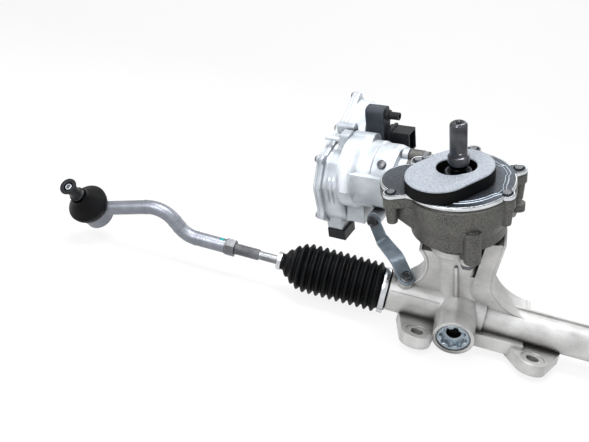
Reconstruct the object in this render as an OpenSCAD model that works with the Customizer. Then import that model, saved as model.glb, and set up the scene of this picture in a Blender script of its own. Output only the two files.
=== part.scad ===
// Electric power steering rack: rack and pinion in a cast housing, with a worm drive and motor on the pinion.
// Millimetres, +Z up. The origin is the left mounting hole, on the face that seats on the subframe.
// X runs along the rack towards the long end of the housing, -Y is the front of the unit.

/* [Mounting lugs] */
// Distance from the left mounting hole to the pinion, along the rack
lug_to_pinion = 37; // [32:1:44]
// Distance from the left mounting hole to the rack axis, across the rack
lug_to_rack = 46; // [42:1:54]
// Height of the rack axis above the lug seats
seat_to_rack = 28.5; // [27:0.5:36]
// Thickness of a lug
lug_t = 12.5; // [9:0.5:14]
// Radius of a mounting hole
lug_hole_r = 6.5; // [4:0.5:8]
// Radius of the round end of a lug
lug_r = 16.5; // [14:0.5:18]
// Right mounting hole, along the rack from the pinion
right_lug_x = 83; // [76:1:90]
// Right mounting hole, in front of the rack axis
right_lug_y = 36; // [34:1:44]
// Outer mounting hole, along the rack from the pinion
outer_lug_x = 330; // [300:1:340]
// Outer mounting hole, in front of the rack axis
outer_lug_y = 38; // [34:1:46]

/* [Rack and pinion] */
// Radius of the rack bar
rack_r = 12; // [11:0.5:12.5]
// Distance from the pinion to the middle of the rack bar, along the rack
rack_mid_x = 155; // [150:1:160]
// Half the length of the rack bar between its two shoulders
rack_half = 305; // [300:1:310]
// Travel of the rack to each side
rack_travel = 65; // [55:1:65]
// Module of the pinion and rack teeth
tooth_m = 2; // [1.9:0.05:2.1]
// Number of pinion teeth
pinion_teeth = 8; // [7:1:9]
// Height of the toothed part of the pinion
pinion_face = 28; // [24:1:30]
// Angle that the pinion leans along the rack
pinion_angle = 14; // [10:1:18]
// Angle that the pinion leans towards the front
pinion_lean = 17; // [12:1:20]
// Depth of the flat on which the rack teeth stand, from the axis of the bar
rack_flat = 8.9; // [8.5:0.1:9.5]
// Backlash between the teeth, measured along the pitch line
tooth_backlash = 0.16; // [0.1:0.02:0.3]

/* [Rack housing] */
// Radius of the bore that the rack bar runs in
rack_bore_r = 14; // [13.5:0.25:14.5]
// Radius of the barrel at the pinion end
barrel_r = 22; // [21:0.5:24]
// Radius of the long tube
tube_r = 18; // [17:0.5:20]
// Length of the collar that a boot seats on
collar_len = 9; // [8:0.5:12]
// Radius of the collar that a boot seats on
collar_r = 20.5; // [19.5:0.25:20.5]
// Gap between the end of the housing and the rack shoulder at full travel
end_stop_gap = 0.5; // [0.3:0.1:2]
// Radius of the pinion tower
tower_r = 23; // [22:0.5:24]
// Radius of the flange on the pinion tower
tower_flange_r = 32; // [29:0.5:34]
// Height of the tower above the rack axis, along the pinion
tower_top = 84; // [80:1:85]
// Thickness of the tower flange
tower_flange_t = 8; // [6:0.5:10]
// Depth of the tower below the rack axis
tower_foot = 31; // [30:0.5:34]

/* [Rack guide] */
// Radius of the yoke that presses on the rack
yoke_r = 17.9; // [17:0.1:18.5]
// Distance of the front face of the yoke boss from the rack axis
yoke_face = 48; // [46:1:52]
// Radius of the yoke boss
yoke_boss_r = 21.5; // [21.5:0.5:24]
// Length of the yoke
yoke_len = 20; // [18:1:22]
// Number of lobes on the star ring of the plug
plug_lobes = 10; // [8:1:12]
// Radius of the star ring of the plug
plug_star_r = 11.5; // [9:0.5:12]

/* [Worm drive] */
// Distance between the worm and the pinion
worm_offset = 50; // [50:0.5:51]
// Height of the worm above the rack axis, along the pinion
worm_height = 110; // [108:1:112]
// Angle of the motor axis about the pinion
motor_turn = 15; // [12:1:18]
// Number of threads of the worm
worm_starts = 2; // [1:1:2]
// Number of teeth of the worm wheel
wheel_teeth = 41; // [40:1:41]
// Module of the worm wheel
wheel_m = 2; // [1.95:0.05:2]
// Face height of the worm wheel
wheel_face = 16; // [14:1:18]
// Length of the worm thread
worm_len = 40; // [34:1:44]
// Clearance on each flank between the worm and its wheel
worm_clearance = 0.13; // [0.1:0.01:0.2]
// Gap between the worm wheel and the bowl around it
wheel_gap = 1.5; // [1.2:0.1:2.5]
// Thickness of the bowl wall
bowl_wall = 7; // [6:0.5:8]
// Height of the rim of the gear housing, along the pinion
rim_top = 148; // [146:1:152]
// Depth of the rim of the gear housing
rim_t = 10; // [8:0.5:12]
// Radius of the tube around the worm
worm_tube_r = 20; // [18:0.5:21]

/* [Housing cover] */
// Thickness of the cover
cover_t = 4.5; // [3.5:0.5:6]
// Radius of the main circle of the cover
cover_r = 56; // [55:0.5:58]
// Distance of the cover's side lobe from the pinion
cover_lobe_x = 48; // [44:1:52]
// Radius of the cover's side lobe
cover_lobe_r = 30; // [28:0.5:30]
// Height of the seal boss on the cover
seal_boss_h = 10.5; // [8:0.5:12]
// Radius of the seal boss on the cover
seal_boss_r = 13; // [12.5:0.1:13.5]
// Height of the foam seal
foam_h = 14.5; // [10:0.5:16]
// Thickness of the grey face of the foam seal
foam_face_t = 1.6; // [1:0.1:3]
// Radius of the round ends of the foam seal
foam_r = 33; // [31:0.5:35]
// Radius of the hole through the foam seal
foam_hole_r = 16; // [16:0.5:18]

/* [Input shaft] */
// Radius of the input shaft where the column joins on
input_r = 8.5; // [7.5:0.25:9]
// Height of the top of the input shaft
input_top = 215; // [208:1:222]
// Length of the joining part of the input shaft
input_spline_len = 34; // [28:1:38]
// Radius of the collar below the joining part
input_collar_r = 10.5; // [9.5:0.25:11]
// Length of the collar
input_collar_len = 9; // [7:0.5:11]
// Radius of the shaft where it runs in the seal
input_neck_r = 7.5; // [7:0.1:7.8]
// Distance of the milled flat from the shaft axis
input_flat = 6.9; // [6.5:0.1:7.3]
// Radius of the slender part of the torsion bar
torsion_r = 3; // [2.5:0.1:3.5]

/* [Motor] */
// Radius of the motor can
can_r = 39; // [37:0.5:40]
// Length of the motor can
can_len = 65; // [62:1:70]
// Radius of the motor flange
motor_flange_r = 31; // [30:0.5:33]
// Thickness of the motor flange
motor_flange_t = 8; // [6:0.5:10]
// Distance from the pinion to the motor flange, along the worm
motor_face = 72; // [70:0.5:74]
// Thickness of the motor can's wall
can_wall = 3.5; // [2:0.25:4]
// Radius of the rotor
rotor_r = 23; // [20:0.5:24]

/* [Control unit] */
// Depth of the control unit's housing, along the motor
ecu_t = 31; // [28:1:34]
// Wall of the control unit's housing
ecu_wall = 3; // [2:0.25:4]
// Thickness of the control unit's cover
ecu_cover_t = 3.5; // [2.5:0.25:5]
// Length of the pin on the control unit's cover
ecu_pin_len = 17; // [10:1:20]
// Width of the mouth of the power connector
power_mouth_w = 22; // [19:0.5:22]
// Depth of the connector header
header_len = 23; // [20:1:25]
// Length of the power connector
power_len = 30; // [24:1:32]

/* [Bellows] */
// Length of a boot
boot_len = 128; // [122:1:134]
// Radius of the crests of a boot
boot_crest_r = 28; // [26:0.5:30]
// Radius of the roots of a boot
boot_root_r = 22.5; // [21.5:0.25:23.5]
// Number of convolutions of a boot
boot_folds = 14; // [11:1:15]
// Wall of a boot
boot_wall = 1.4; // [1.2:0.1:1.6]
// Length of the cuff that is clamped to the housing
boot_cuff_len = 9.5; // [8:0.5:10]
// Width of the large boot clamp
clamp_w = 6; // [4:0.5:7]

/* [Tie rod] */
// Distance from a rack shoulder to the centre of the inner ball
inner_ball_x = 20; // [20:0.5:22]
// Radius of the inner ball
inner_ball_r = 11; // [10.5:0.1:11.2]
// Radius of the housing of the inner ball
socket_r = 16; // [15.8:0.1:17]
// Radius of the slender part of the tie rod
rod_neck_r = 5; // [4.5:0.25:5.5]
// Radius of the threaded part of the tie rod
rod_thread_r = 6; // [5.5:0.25:6.5]
// Distance from the inner ball to the jam nut
jam_nut_x = 85; // [80:1:92]
// Width of the jam nut across its flats
jam_nut_af = 18; // [17:0.5:20]
// Thickness of the jam nut
jam_nut_t = 12; // [8:0.5:14]

/* [Rod end] */
// Radius of the bent bar of the rod end
rod_end_r = 8.2; // [7.8:0.1:9]
// Distance from the inner ball to the outer ball, along the rack
outer_ball_x = 263; // [258:1:268]
// Radius of the first bend
bend_a_r = 34; // [30:1:38]
// Angle of the first bend
bend_a = 40; // [36:1:42]
// Length of the straight part between the bends
bend_gap = 9; // [6:1:12]
// Radius of the second bend
bend_b_r = 40; // [36:1:44]
// Angle at which the bar drops towards the outer ball
bend_drop = 16; // [14:1:18]
// Radius of the outer ball
outer_ball_r = 12; // [11:0.25:12.5]
// Radius of the housing of the outer ball
eye_r = 18; // [17.8:0.1:20]
// Angle of the ball stud from the vertical
stud_tilt = 49.5; // [44:0.5:54]
// Heading of the ball stud, turned from the direction of the rack
stud_heading = 106.8; // [100:0.5:112]
// Length of the ball stud from the centre of its ball
stud_len = 50; // [46:1:54]
// Radius of the dust boot
dust_boot_r = 21; // [19.5:0.5:23]
// Length of the stud cap
stud_cap_len = 15; // [12:0.5:15]

/* [Fits] */
// Radial clearance of a running fit
fit = 0.05; // [0.03:0.01:0.08]
// Gap between pieces that lie beside each other
gap = 0.3; // [0.25:0.05:0.4]

/* [Hidden] */
$fn = 64;
eps = 0.01;
pressure_angle = 20;

// Tooth proportions, in modules
pinion_shift = 0.5;
rack_addendum = 0.85;
tip_clearance = 0.2;
pinion_pitch_r = tooth_m * pinion_teeth / 2;
pinion_tip_r = pinion_pitch_r + 1.2 * tooth_m;
rack_datum = pinion_pitch_r + pinion_shift * tooth_m;
rack_tip = rack_datum - rack_addendum * tooth_m;
rack_root = pinion_tip_r + tip_clearance * tooth_m;
pinion_root_r = rack_tip - tip_clearance * tooth_m;
pinion_offset = rack_flat + rack_tip;

wheel_pitch_r = wheel_m * wheel_teeth / 2;
wheel_tip_r = wheel_pitch_r + wheel_m;
wheel_root_r = wheel_pitch_r - 1.3 * wheel_m;
worm_pitch_r = worm_offset - wheel_pitch_r;
worm_tip_r = worm_pitch_r + wheel_m;
worm_root_r = worm_pitch_r - 1.2 * wheel_m;
worm_lead = PI * wheel_m * worm_starts;

housing_left = rack_mid_x - rack_half + rack_travel + end_stop_gap;
housing_right = rack_mid_x + rack_half - rack_travel - end_stop_gap;
bush_r = rack_r + 3.5;
bush_len = 20;
lower_bearing_r = 10;
lower_journal_r = 6;
lower_bearing_len = 12;
pinion_foot = -pinion_face / 2 + 1;
pinion_head = pinion_foot + pinion_face;
upper_bearing_r = 17.5;
upper_bearing_len = 12;
upper_bearing_z = tower_top - 2 - upper_bearing_len;
pinion_shaft_r = 8.5;
shaft_cup_r = 11;
shaft_cup_z = worm_height + wheel_face / 2 + 4;
shaft_cup_len = 12;
wheel_split_r = wheel_root_r - 6;
wheel_room_r = wheel_tip_r + wheel_gap;
cavity_r = wheel_room_r + 2.5;
bowl_r = cavity_r + bowl_wall;
floor_top = tower_top + 8;
wheel_floor = worm_height - wheel_face / 2 - 2;
cavity_floor_r = 22;
cone_top = tower_top + 18;
bolt_r = 4;
head_h = 5.5;

// Screws of the cover, seen along the pinion
cover_screws_xy = [[-62.6, -27.4], [46.4, -21.7], [56.4, 25.9], [-44, 38], [10, 64]];
cover_ear_r = 8.5;
cover_bolt_r = 2.5;
cover_recess = 1.5;
cover_centre_y = 4;
ear_screw_angles = [50, 170, 290];
ear_screw_r = tower_flange_r + 3;
// Step between a flange and the faces of its ears
ear_step = 0.4;
front_boss_xy = [17, -46];
front_boss_r = 8.5;

seal_r = seal_boss_r - 2;
cover_top = rim_top + cover_t;
foam_z = cover_top + gap;
foam_back = [-17.7, -15.3];
foam_front = [2.1, 5.4];
foam_hole_a = [-5.5, 0.5];
foam_hole_b = [1.5, 3.5];
spline_z = input_top - input_spline_len;
collar_z = spline_z - input_collar_len;
neck_z = collar_z - 12;
torsion_fit_r = torsion_r + 1;
torsion_foot = 40;

worm_bearing_r = 14;
worm_bearing_len = 8;
worm_journal_r = 6;
worm_bearing_z = worm_len / 2 + 13;
coupling_r = 12;
coupling_z = worm_bearing_z + worm_bearing_len + 4;
coupling_t = 6;
can_z = motor_face + motor_flange_t;
ecu_z = can_z + can_len;
ecu_top = ecu_z + ecu_t;
rotor_shaft_r = 5;
stator_len = 44;
stator_z = can_z + 10;
motor_bolt_angles = [0, 100, 190];
motor_bolt_r = motor_flange_r + 1;
motor_ear_r = 7;
shoulder_len = 9;
block_front = -39.5;
block_low = -16;
block_high = 19;
block_len = 42;
flare_z = 43;
flare_r = can_r + 4;
can_bump = [30, 12];
box_len = 23;
lobe_depth = 14;
// Outline of the control unit, first number up, second number back
ecu_outline = [[63, 76], [40, 29], [26, -23], [-7, -46], [-50, -38], [-66, -20], [-66, 2], [-44, 48], [24, 80]];
ecu_arm_end = -72;
ecu_screw_at = [[64, 77], [41.5, 28.4], [27.2, -24], [-51, -39.4], [-45.5, 48.5], [23.8, 81.5]];
ecu_lobe_r = 5.5;
ecu_lug_at = [40, 5];
header_up = [18, 60];
header_back = [40, 58];
power_up = 20;
power_back = 51.5;
power_w = power_mouth_w + 4;
power_d = 20;

bracket_up = -can_r;
bracket_front = 34;
bracket_motor_s = can_z + 25;
bracket_barrel_x = housing_left + 23.5;
bracket_barrel_angle = 30;
bracket_barrel_r = barrel_r + 5;
bracket_bend = [-98, 21, 50];
bracket_w = 15;
bracket_t = 3;

boot_x = housing_left + boot_cuff_len - 1 - boot_len;
boot_nose_r = 9;
boot_nose_len = 6;
boot_ring_w = 4.5;
clamp_t = 1;
inner_ball_at = rack_mid_x - rack_half - inner_ball_x;
inner_seat_r = inner_ball_r + 2.2;
inner_mouth = 62;
tie_rod_len = jam_nut_x + 30;
neck_len = boot_x - 22 - inner_ball_at;

rod_start = jam_nut_x + jam_nut_t;
bend_a_at = [-bend_a_r * sin(bend_a), bend_a_r * (1 - cos(bend_a))];
gap_at = bend_a_at + bend_gap * [-cos(bend_a), sin(bend_a)];
bend_b_at = gap_at + bend_b_r * [-sin(bend_a) - sin(bend_drop), cos(bend_drop) - cos(bend_a)];
rise_start = rod_start + 35;
drop_run = outer_ball_x - rise_start + bend_b_at[0];
outer_ball_z = bend_b_at[1] - drop_run * tan(bend_drop);
drop_len = drop_run / cos(bend_drop);
outer_seat_r = outer_ball_r + 2.2;
outer_mouth = 50;
stud_neck_r = 7;
eye_front = 9;
eye_step_r = eye_r - 0.5;
eye_back = 17;
dust_z = eye_front + 1;

// The rack axis, under the pinion
module rack_frame() {
    translate([lug_to_pinion, lug_to_rack, seat_to_rack]) children();
}

// Z turned along the rack, at distance x from the pinion
module along_rack(x = 0) {
    rack_frame() translate([x, 0, 0]) rotate([0, 90, 0]) children();
}

// Z along the pinion, with the rack in front of it
module pinion_frame() {
    rack_frame() rotate([pinion_lean, 0, 0]) translate([0, pinion_offset, 0])
        rotate([0, -pinion_angle, 0]) children();
}

// Z from the rack axis towards the front of the yoke boss
module yoke_frame() {
    rack_frame() rotate([pinion_lean + 90, 0, 0]) children();
}

// X up, Y back, Z along the worm towards the motor
module motor_frame() {
    pinion_frame() rotate([0, 0, -motor_turn]) translate([0, worm_offset, worm_height])
        rotate([0, -90, 0]) children();
}

// The other end of the rack is a mirror image
module other_end() {
    rack_frame() translate([2 * rack_mid_x, 0, 0]) mirror([1, 0, 0])
        translate([-lug_to_pinion, -lug_to_rack, -seat_to_rack]) children();
}

// The inner ball of the left tie rod, X as in the rest of the model
module inner_ball_frame() {
    rack_frame() translate([inner_ball_at, 0, 0]) children();
}

// Z along the left ball stud, at the centre of its ball
module stud_frame() {
    inner_ball_frame() translate([-outer_ball_x, 0, outer_ball_z])
        rotate([0, stud_tilt, -stud_heading]) children();
}

module ring(outer, inner, h, z = 0) {
    translate([0, 0, z]) difference() {
        cylinder(r = outer, h = h);
        translate([0, 0, -1]) cylinder(r = inner, h = h + 2);
    }
}

module cap_screw(r, len, head = head_h) {
    cylinder(r = r * 1.6, h = head);
    translate([0, 0, -len]) cylinder(r = r, h = len + eps);
}

module hex_screw(r, len, head = head_h) {
    cylinder(r = r * 1.85, h = head, $fn = 6);
    translate([0, 0, -len]) cylinder(r = r, h = len + eps);
}

// Involute of a gear: roll angle in radians, and the polar angle at radius r
function roll(base_r, r) = sqrt(max(0, pow(r / base_r, 2) - 1));
function involute_angle(base_r, r) = roll(base_r, r) * 180 / PI - atan(roll(base_r, r));

// Half the angle of a tooth at radius r, for tooth thickness s on the pitch circle
function half_tooth(pitch_r, base_r, s, r) =
    s / (2 * pitch_r) * 180 / PI + involute_angle(base_r, pitch_r) - involute_angle(base_r, r);

// Outline of a gear with n points on each flank
function gear_outline(m, z, shift, root_r, tip_r, thinning, n) =
    let (pitch_r = m * z / 2, base_r = pitch_r * cos(pressure_angle),
        s = m * (PI / 2 + 2 * shift * tan(pressure_angle)) - thinning, low = max(base_r, root_r))
    [for (i = [0 : z - 1]) for (j = [-n - 1 : n + 1])
        if (j != 0)
            let (k = abs(j) - 1, r = k == n ? root_r : tip_r - (tip_r - low) * k / (n - 1),
                a = i * 360 / z + sign(j) * half_tooth(pitch_r, base_r, s, max(r, low)))
            r * [cos(a), sin(a)]];

// Section of a worm: radius falls from tip to root on each side of a thread
function worm_section(starts) =
    let (reach = function (r) (PI * wheel_m / 4 - worm_clearance
            - (r - worm_pitch_r) * tan(pressure_angle)) * 360 / worm_lead,
        radii = [worm_root_r, worm_pitch_r, worm_tip_r],
        half = 180 / starts)
    [for (i = [0 : starts - 1]) for (j = [-3 : 3])
        let (r = j == 0 ? worm_tip_r : radii[3 - abs(j)],
            a = i * 360 / starts + (j == 0 ? 0 : sign(j) * min(reach(r), half - 1)))
        r * [cos(a), sin(a)]];

// Concave corner between a wall and a tube, as a flat plate
module gusset(x_wall, z_wall, x_tube, z_tube, thick) {
    arc_r = (pow(x_tube - x_wall, 2) + pow(z_wall - z_tube, 2)) / (2 * (z_wall - z_tube));
    translate([0, thick / 2, 0]) rotate([90, 0, 0]) linear_extrude(thick) difference() {
        polygon([[0, 0], [x_tube, 0], [x_tube, z_tube + eps], [x_wall, z_wall], [0, z_wall]]);
        translate([x_tube, z_tube + arc_r]) circle(r = arc_r, $fn = 128);
    }
}

// A lug with its hole, seated at the height of the origin, reaching back to the tube
module lug(x, y, foot_w) {
    translate([0, 0, -seat_to_rack]) linear_extrude(lug_t) hull() {
        translate([x, -y]) circle(r = lug_r);
        translate([x - foot_w / 2, -10]) square([foot_w, 6]);
    }
}

module lug_hole(x, y) {
    translate([x, -y, -seat_to_rack - 1]) cylinder(r = lug_hole_r, h = lug_t + 2);
    translate([x, -y, -seat_to_rack + lug_t - 0.8]) cylinder(r = lug_hole_r + 5.5, h = 12);
}

module rack_housing_body() {
    along_rack(housing_left) cylinder(r = collar_r, h = collar_len + 1);
    along_rack(housing_left + collar_len) cylinder(r = barrel_r, h = 28 - housing_left - collar_len);
    along_rack(20) cylinder(r = tube_r, h = housing_right - 20 - collar_len);
    along_rack(housing_right - collar_len - 14) cylinder(r = barrel_r, h = 14);
    along_rack(housing_right - collar_len - 1) cylinder(r = collar_r, h = collar_len + 1);
    rack_frame() {
        lug(-lug_to_pinion, lug_to_rack, 46);
        lug(right_lug_x, right_lug_y, 62);
        lug(outer_lug_x, outer_lug_y, 50);
        // Web between the yoke boss and the right lug
        translate([12, -right_lug_y + 10, -seat_to_rack + 3]) cube([right_lug_x - 22, right_lug_y - 12, 14]);
        rotate([pinion_lean, 0, 0]) translate([0, pinion_offset * 0.5, 0]) {
            gusset(24, 52, 74, tube_r - 2, 30);
            mirror([1, 0, 0]) difference() {
                translate([0, 13, 0]) rotate([90, 0, 0]) linear_extrude(26) difference() {
                    polygon([[0, 0], [58, 0], [58, 68], [0, 76]]);
                    translate([75, 45]) circle(r = 30, $fn = 96);
                }
            }
        }
        // Parting rib along the top and the bottom of the long tube
        translate([40, -1.5, tube_r - 1]) cube([housing_right - 80, 3, 3]);
        translate([115, -1.5, -tube_r - 2]) cube([housing_right - 155, 3, 3]);
        // Boss for the bracket bolt
        translate([bracket_barrel_x, 0, 0]) rotate([bracket_barrel_angle, 0, 0])
            translate([0, 0, rack_bore_r + 3]) cylinder(r = 9, h = bracket_barrel_r - rack_bore_r - 3);
    }
    pinion_frame() {
        translate([0, 0, -tower_foot]) cylinder(r = tower_r, h = tower_foot + tower_top - 1);
        translate([0, 0, tower_top - tower_flange_t]) cylinder(r = tower_flange_r, h = tower_flange_t);
        translate([0, 0, tower_top - tower_flange_t - 7])
            cylinder(r1 = tower_r - eps, r2 = tower_flange_r - 3, h = 7 + eps);
        for (a = ear_screw_angles)
            rotate(a) translate([ear_screw_r, 0, tower_top - tower_flange_t + ear_step])
                cylinder(r = bolt_r * 2, h = tower_flange_t - 2 * ear_step);
        // Rib on the front of the tower
        translate([-1.6, -tower_r - 5, 8]) cube([3.2, 10, 56]);
    }
    yoke_frame() {
        cylinder(r = yoke_boss_r, h = yoke_face);
        translate([0, 0, 2]) cylinder(r1 = 27, r2 = yoke_boss_r - eps, h = 24);
    }
}

module rack_housing() {
    color("silver") difference() {
        rack_housing_body();
        along_rack(housing_left - 1) cylinder(r = rack_bore_r, h = housing_right - housing_left + 2);
        along_rack(housing_left - 1) cylinder(r = bush_r, h = bush_len + 3);
        along_rack(housing_right - bush_len - 2) cylinder(r = bush_r, h = bush_len + 3);
        pinion_frame() {
            translate([0, 0, -tower_foot + 5]) cylinder(r = lower_bearing_r + fit, h = 30);
            translate([0, 0, pinion_foot - 1]) cylinder(r = pinion_tip_r + 2, h = tower_top);
            translate([0, 0, upper_bearing_z]) cylinder(r = upper_bearing_r + fit, h = tower_top);
            for (a = ear_screw_angles)
                rotate(a) translate([ear_screw_r, 0, tower_top - tower_flange_t]) {
                    translate([0, 0, -1]) cylinder(r = bolt_r + fit, h = tower_flange_t + 2);
                    // Room for the head
                    translate([0, 0, -head_h - 8]) cylinder(r = bolt_r * 1.85 + 1, h = head_h + 8 + 2 * ear_step);
                }
        }
        yoke_frame() translate([0, 0, 4]) cylinder(r = yoke_r + fit, h = yoke_face);
        rack_frame() {
            lug_hole(-lug_to_pinion, lug_to_rack);
            lug_hole(right_lug_x, right_lug_y);
            lug_hole(outer_lug_x, outer_lug_y);
            translate([bracket_barrel_x, 0, 0]) rotate([bracket_barrel_angle, 0, 0])
                translate([0, 0, rack_bore_r + 2]) cylinder(r = bolt_r + fit, h = 20);
        }
    }
}

module rack_bushes() {
    color("dimgray") {
        along_rack(housing_left + 1) ring(bush_r - fit, rack_r + fit, bush_len);
        along_rack(housing_right - bush_len - 1) ring(bush_r - fit, rack_r + fit, bush_len);
    }
}

module lower_bearing() {
    color("lightsteelblue") pinion_frame()
        ring(lower_bearing_r, lower_journal_r + fit, lower_bearing_len, -tower_foot + 5.2);
}

module upper_bearing() {
    color("lightsteelblue") pinion_frame() translate([0, 0, upper_bearing_z + fit]) difference() {
        cylinder(r = upper_bearing_r, h = upper_bearing_len - fit);
        translate([0, 0, -1]) cylinder(r = pinion_shaft_r + fit, h = upper_bearing_len + 2);
        // Shallow gap between the two races
        translate([0, 0, upper_bearing_len - 1.5]) ring(upper_bearing_r - 2.5, pinion_shaft_r + 2.5, 3);
    }
}

module yoke() {
    color("silver") yoke_frame() difference() {
        translate([0, 0, 3]) cylinder(r = yoke_r, h = rack_r + yoke_len - 6);
        // Saddle that the rack bar runs in
        rotate([0, 90, 0]) translate([0, 0, -30]) cylinder(r = rack_r + gap, h = 60);
        translate([0, 0, -1]) cube([2 * yoke_r + 2, 2 * yoke_r + 2, 12], center = true);
        translate([0, 0, rack_r + yoke_len - 9]) cylinder(r = 9, h = 10);
        translate([0, 0, rack_r + 6]) ring(yoke_r + 1, yoke_r - 1.8, 2.6);
    }
}

module yoke_spring() {
    spring_z = rack_r + yoke_len - 8.7;
    color("gray") yoke_frame() translate([0, 0, spring_z]) rotate_extrude()
        polygon([[4, 0], [7.5, 0], [8.4, 3.5], [8.4, 9.4], [5.4, 9.4], [5.4, 4.5]]);
}

module star(r, lobes) {
    circle(r = r - 1);
    for (i = [0 : lobes - 1]) rotate(i * 360 / lobes) translate([r - 1.6, 0]) circle(r = 2.1, $fn = 24);
}

module yoke_plug() {
    plug_z = rack_r + yoke_len - 2;
    plug_h = yoke_face - plug_z - 0.8;
    color("gray") yoke_frame() translate([0, 0, plug_z]) difference() {
        union() {
            cylinder(r = yoke_r - fit, h = plug_h);
        }
        translate([0, 0, plug_h - 3.5]) linear_extrude(5) difference() {
            circle(r = yoke_r - 2.2);
            star(plug_star_r, plug_lobes);
        }
        translate([0, 0, plug_h - 6]) cylinder(r = 6, h = 10);
        translate([0, 0, -1]) cylinder(r = 9, h = 4);
    }
}

// Outline of the cover and of the rim that it seats on
module cover_outline(shrink = 0) {
    translate([0, cover_centre_y]) circle(r = cover_r - shrink, $fn = 96);
    hull() {
        translate([-cover_lobe_x, 0]) circle(r = cover_lobe_r - shrink);
        translate([-20, -6]) circle(r = 34 - shrink);
    }
    for (p = cover_screws_xy) hull() {
        translate(p) circle(r = cover_ear_r - shrink, $fn = 32);
        translate(p * 0.72) circle(r = cover_ear_r + 3 - shrink, $fn = 32);
    }
}

module gear_housing_body() {
    pinion_frame() {
        translate([0, 0, tower_top + fit]) cylinder(r = tower_flange_r, h = 8);
        // Bowl, narrow round the wheel and wider towards the rim
        rotate_extrude($fn = 96) polygon([
            [0, tower_top + 4], [tower_flange_r + 1, tower_top + 4], [wheel_room_r - 5.5, wheel_floor - 7],
            [wheel_room_r + 3.5, wheel_floor - 1.5], [wheel_room_r + 4.5, wheel_floor + 12],
            [bowl_r - 1.5, wheel_floor + 22], [bowl_r, wheel_floor + 34], [bowl_r, rim_top - 1], [0, rim_top - 1]]);
        translate([0, 0, rim_top - rim_t]) linear_extrude(rim_t) cover_outline();
        // Tapered shoulder below the rim
        translate([0, cover_centre_y * 0.5, rim_top - rim_t - 7])
            cylinder(r1 = bowl_r - 2, r2 = cover_r - 1, h = 7 + eps, $fn = 96);
        // Side lobe, which tapers down to the tower
        hull() {
            translate([-cover_lobe_x, 0, rim_top - rim_t - lobe_depth])
                cylinder(r = cover_lobe_r - 2, h = lobe_depth + 1, $fn = 48);
            translate([-10, 0, rim_top - rim_t]) cylinder(r = bowl_r - 8, h = 1, $fn = 48);
            translate([-4, 0, tower_top + 6]) cylinder(r = tower_flange_r - 2, h = 1, $fn = 48);
        }
        for (a = ear_screw_angles)
            rotate(a) translate([ear_screw_r, 0, tower_top + ear_step]) cylinder(r = bolt_r * 2, h = 16);
        // Boss on the front of the bowl
        translate([front_boss_xy[0], front_boss_xy[1], cone_top - 14]) {
            cylinder(r = front_boss_r, h = 36);
            translate([0, 0, 36]) cylinder(r = front_boss_r - 2, h = 2);
        }
        // Round ear on the right of the bowl
        translate([bowl_r + 4, -2, worm_height + 12]) cylinder(r = 6, h = 8);
        translate([bowl_r - 8, -8, worm_height + 12]) cube([12, 12, 8]);
        // Screw bosses below the rim
        for (p = cover_screws_xy)
            translate([p[0], p[1], rim_top - 30]) cylinder(r1 = 5.5, r2 = 7.5, h = 24);
    }
    motor_frame() {
        translate([0, 0, -worm_bearing_z - worm_bearing_len - 4])
            cylinder(r = worm_tube_r, h = worm_bearing_z + worm_bearing_len + motor_face - 4);
        translate([0, 0, motor_face - 10 - fit]) cylinder(r = motor_flange_r, h = 10);
        translate([0, 0, motor_face - 22]) cylinder(r1 = worm_tube_r - 1, r2 = motor_flange_r - 1, h = 13);
        for (a = motor_bolt_angles)
            rotate(a) translate([motor_bolt_r, 0, motor_face - 16 - fit])
                cylinder(r = motor_ear_r, h = 16 - ear_step);
    }
}

module gear_housing() {
    color("silver") difference() {
        gear_housing_body();
        pinion_frame() {
            translate([0, 0, tower_top - 1]) cylinder(r = pinion_shaft_r + 3.5, h = 40);
            translate([0, 0, floor_top])
                cylinder(r1 = cavity_floor_r, r2 = wheel_room_r, h = wheel_floor - floor_top);
            translate([0, 0, wheel_floor - eps]) cylinder(r = wheel_room_r, h = 24, $fn = 96);
            translate([0, 0, wheel_floor + 23]) cylinder(r = cavity_r, h = rim_top, $fn = 96);
            for (p = cover_screws_xy)
                translate([p[0], p[1], rim_top - 18]) cylinder(r = cover_bolt_r + fit, h = 30);
            for (a = ear_screw_angles)
                rotate(a) translate([ear_screw_r, 0, tower_top - 1]) cylinder(r = bolt_r + fit, h = 12);
            // Hollow of the side lobe, closed towards the bowl
            translate([-cover_lobe_x - 6, 0, rim_top - 20]) cylinder(r = 16, h = 30);
        }
        motor_frame() {
            translate([0, 0, -worm_bearing_z - worm_bearing_len])
                cylinder(r = worm_bearing_r + fit, h = worm_bearing_len + 4);
            translate([0, 0, -worm_bearing_z]) cylinder(r = worm_tip_r + 1.5, h = 2 * worm_bearing_z);
            translate([0, 0, worm_bearing_z]) cylinder(r = worm_bearing_r + fit, h = motor_face);
            for (a = motor_bolt_angles)
                rotate(a) translate([motor_bolt_r, 0, motor_face - 17]) cylinder(r = bolt_r + fit, h = 18);
        }
    }
}

// Cover screws, screws of the tower flange, and the screw in the front boss
module housing_screws() {
    color("slategray") pinion_frame() {
        for (p = cover_screws_xy)
            translate([p[0], p[1], cover_top - cover_recess + fit]) cap_screw(cover_bolt_r, 14, 2.8);
        for (a = ear_screw_angles)
            rotate(a) translate([ear_screw_r, 0, tower_top - tower_flange_t + 2 * ear_step - fit])
                mirror([0, 0, 1]) hex_screw(bolt_r, 18);
    }
}

module worm_bearings() {
    color("lightsteelblue") motor_frame() {
        ring(worm_bearing_r, worm_journal_r + fit, worm_bearing_len, worm_bearing_z);
        ring(worm_bearing_r, worm_journal_r + fit, worm_bearing_len, -worm_bearing_z - worm_bearing_len + fit);
    }
}

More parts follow.
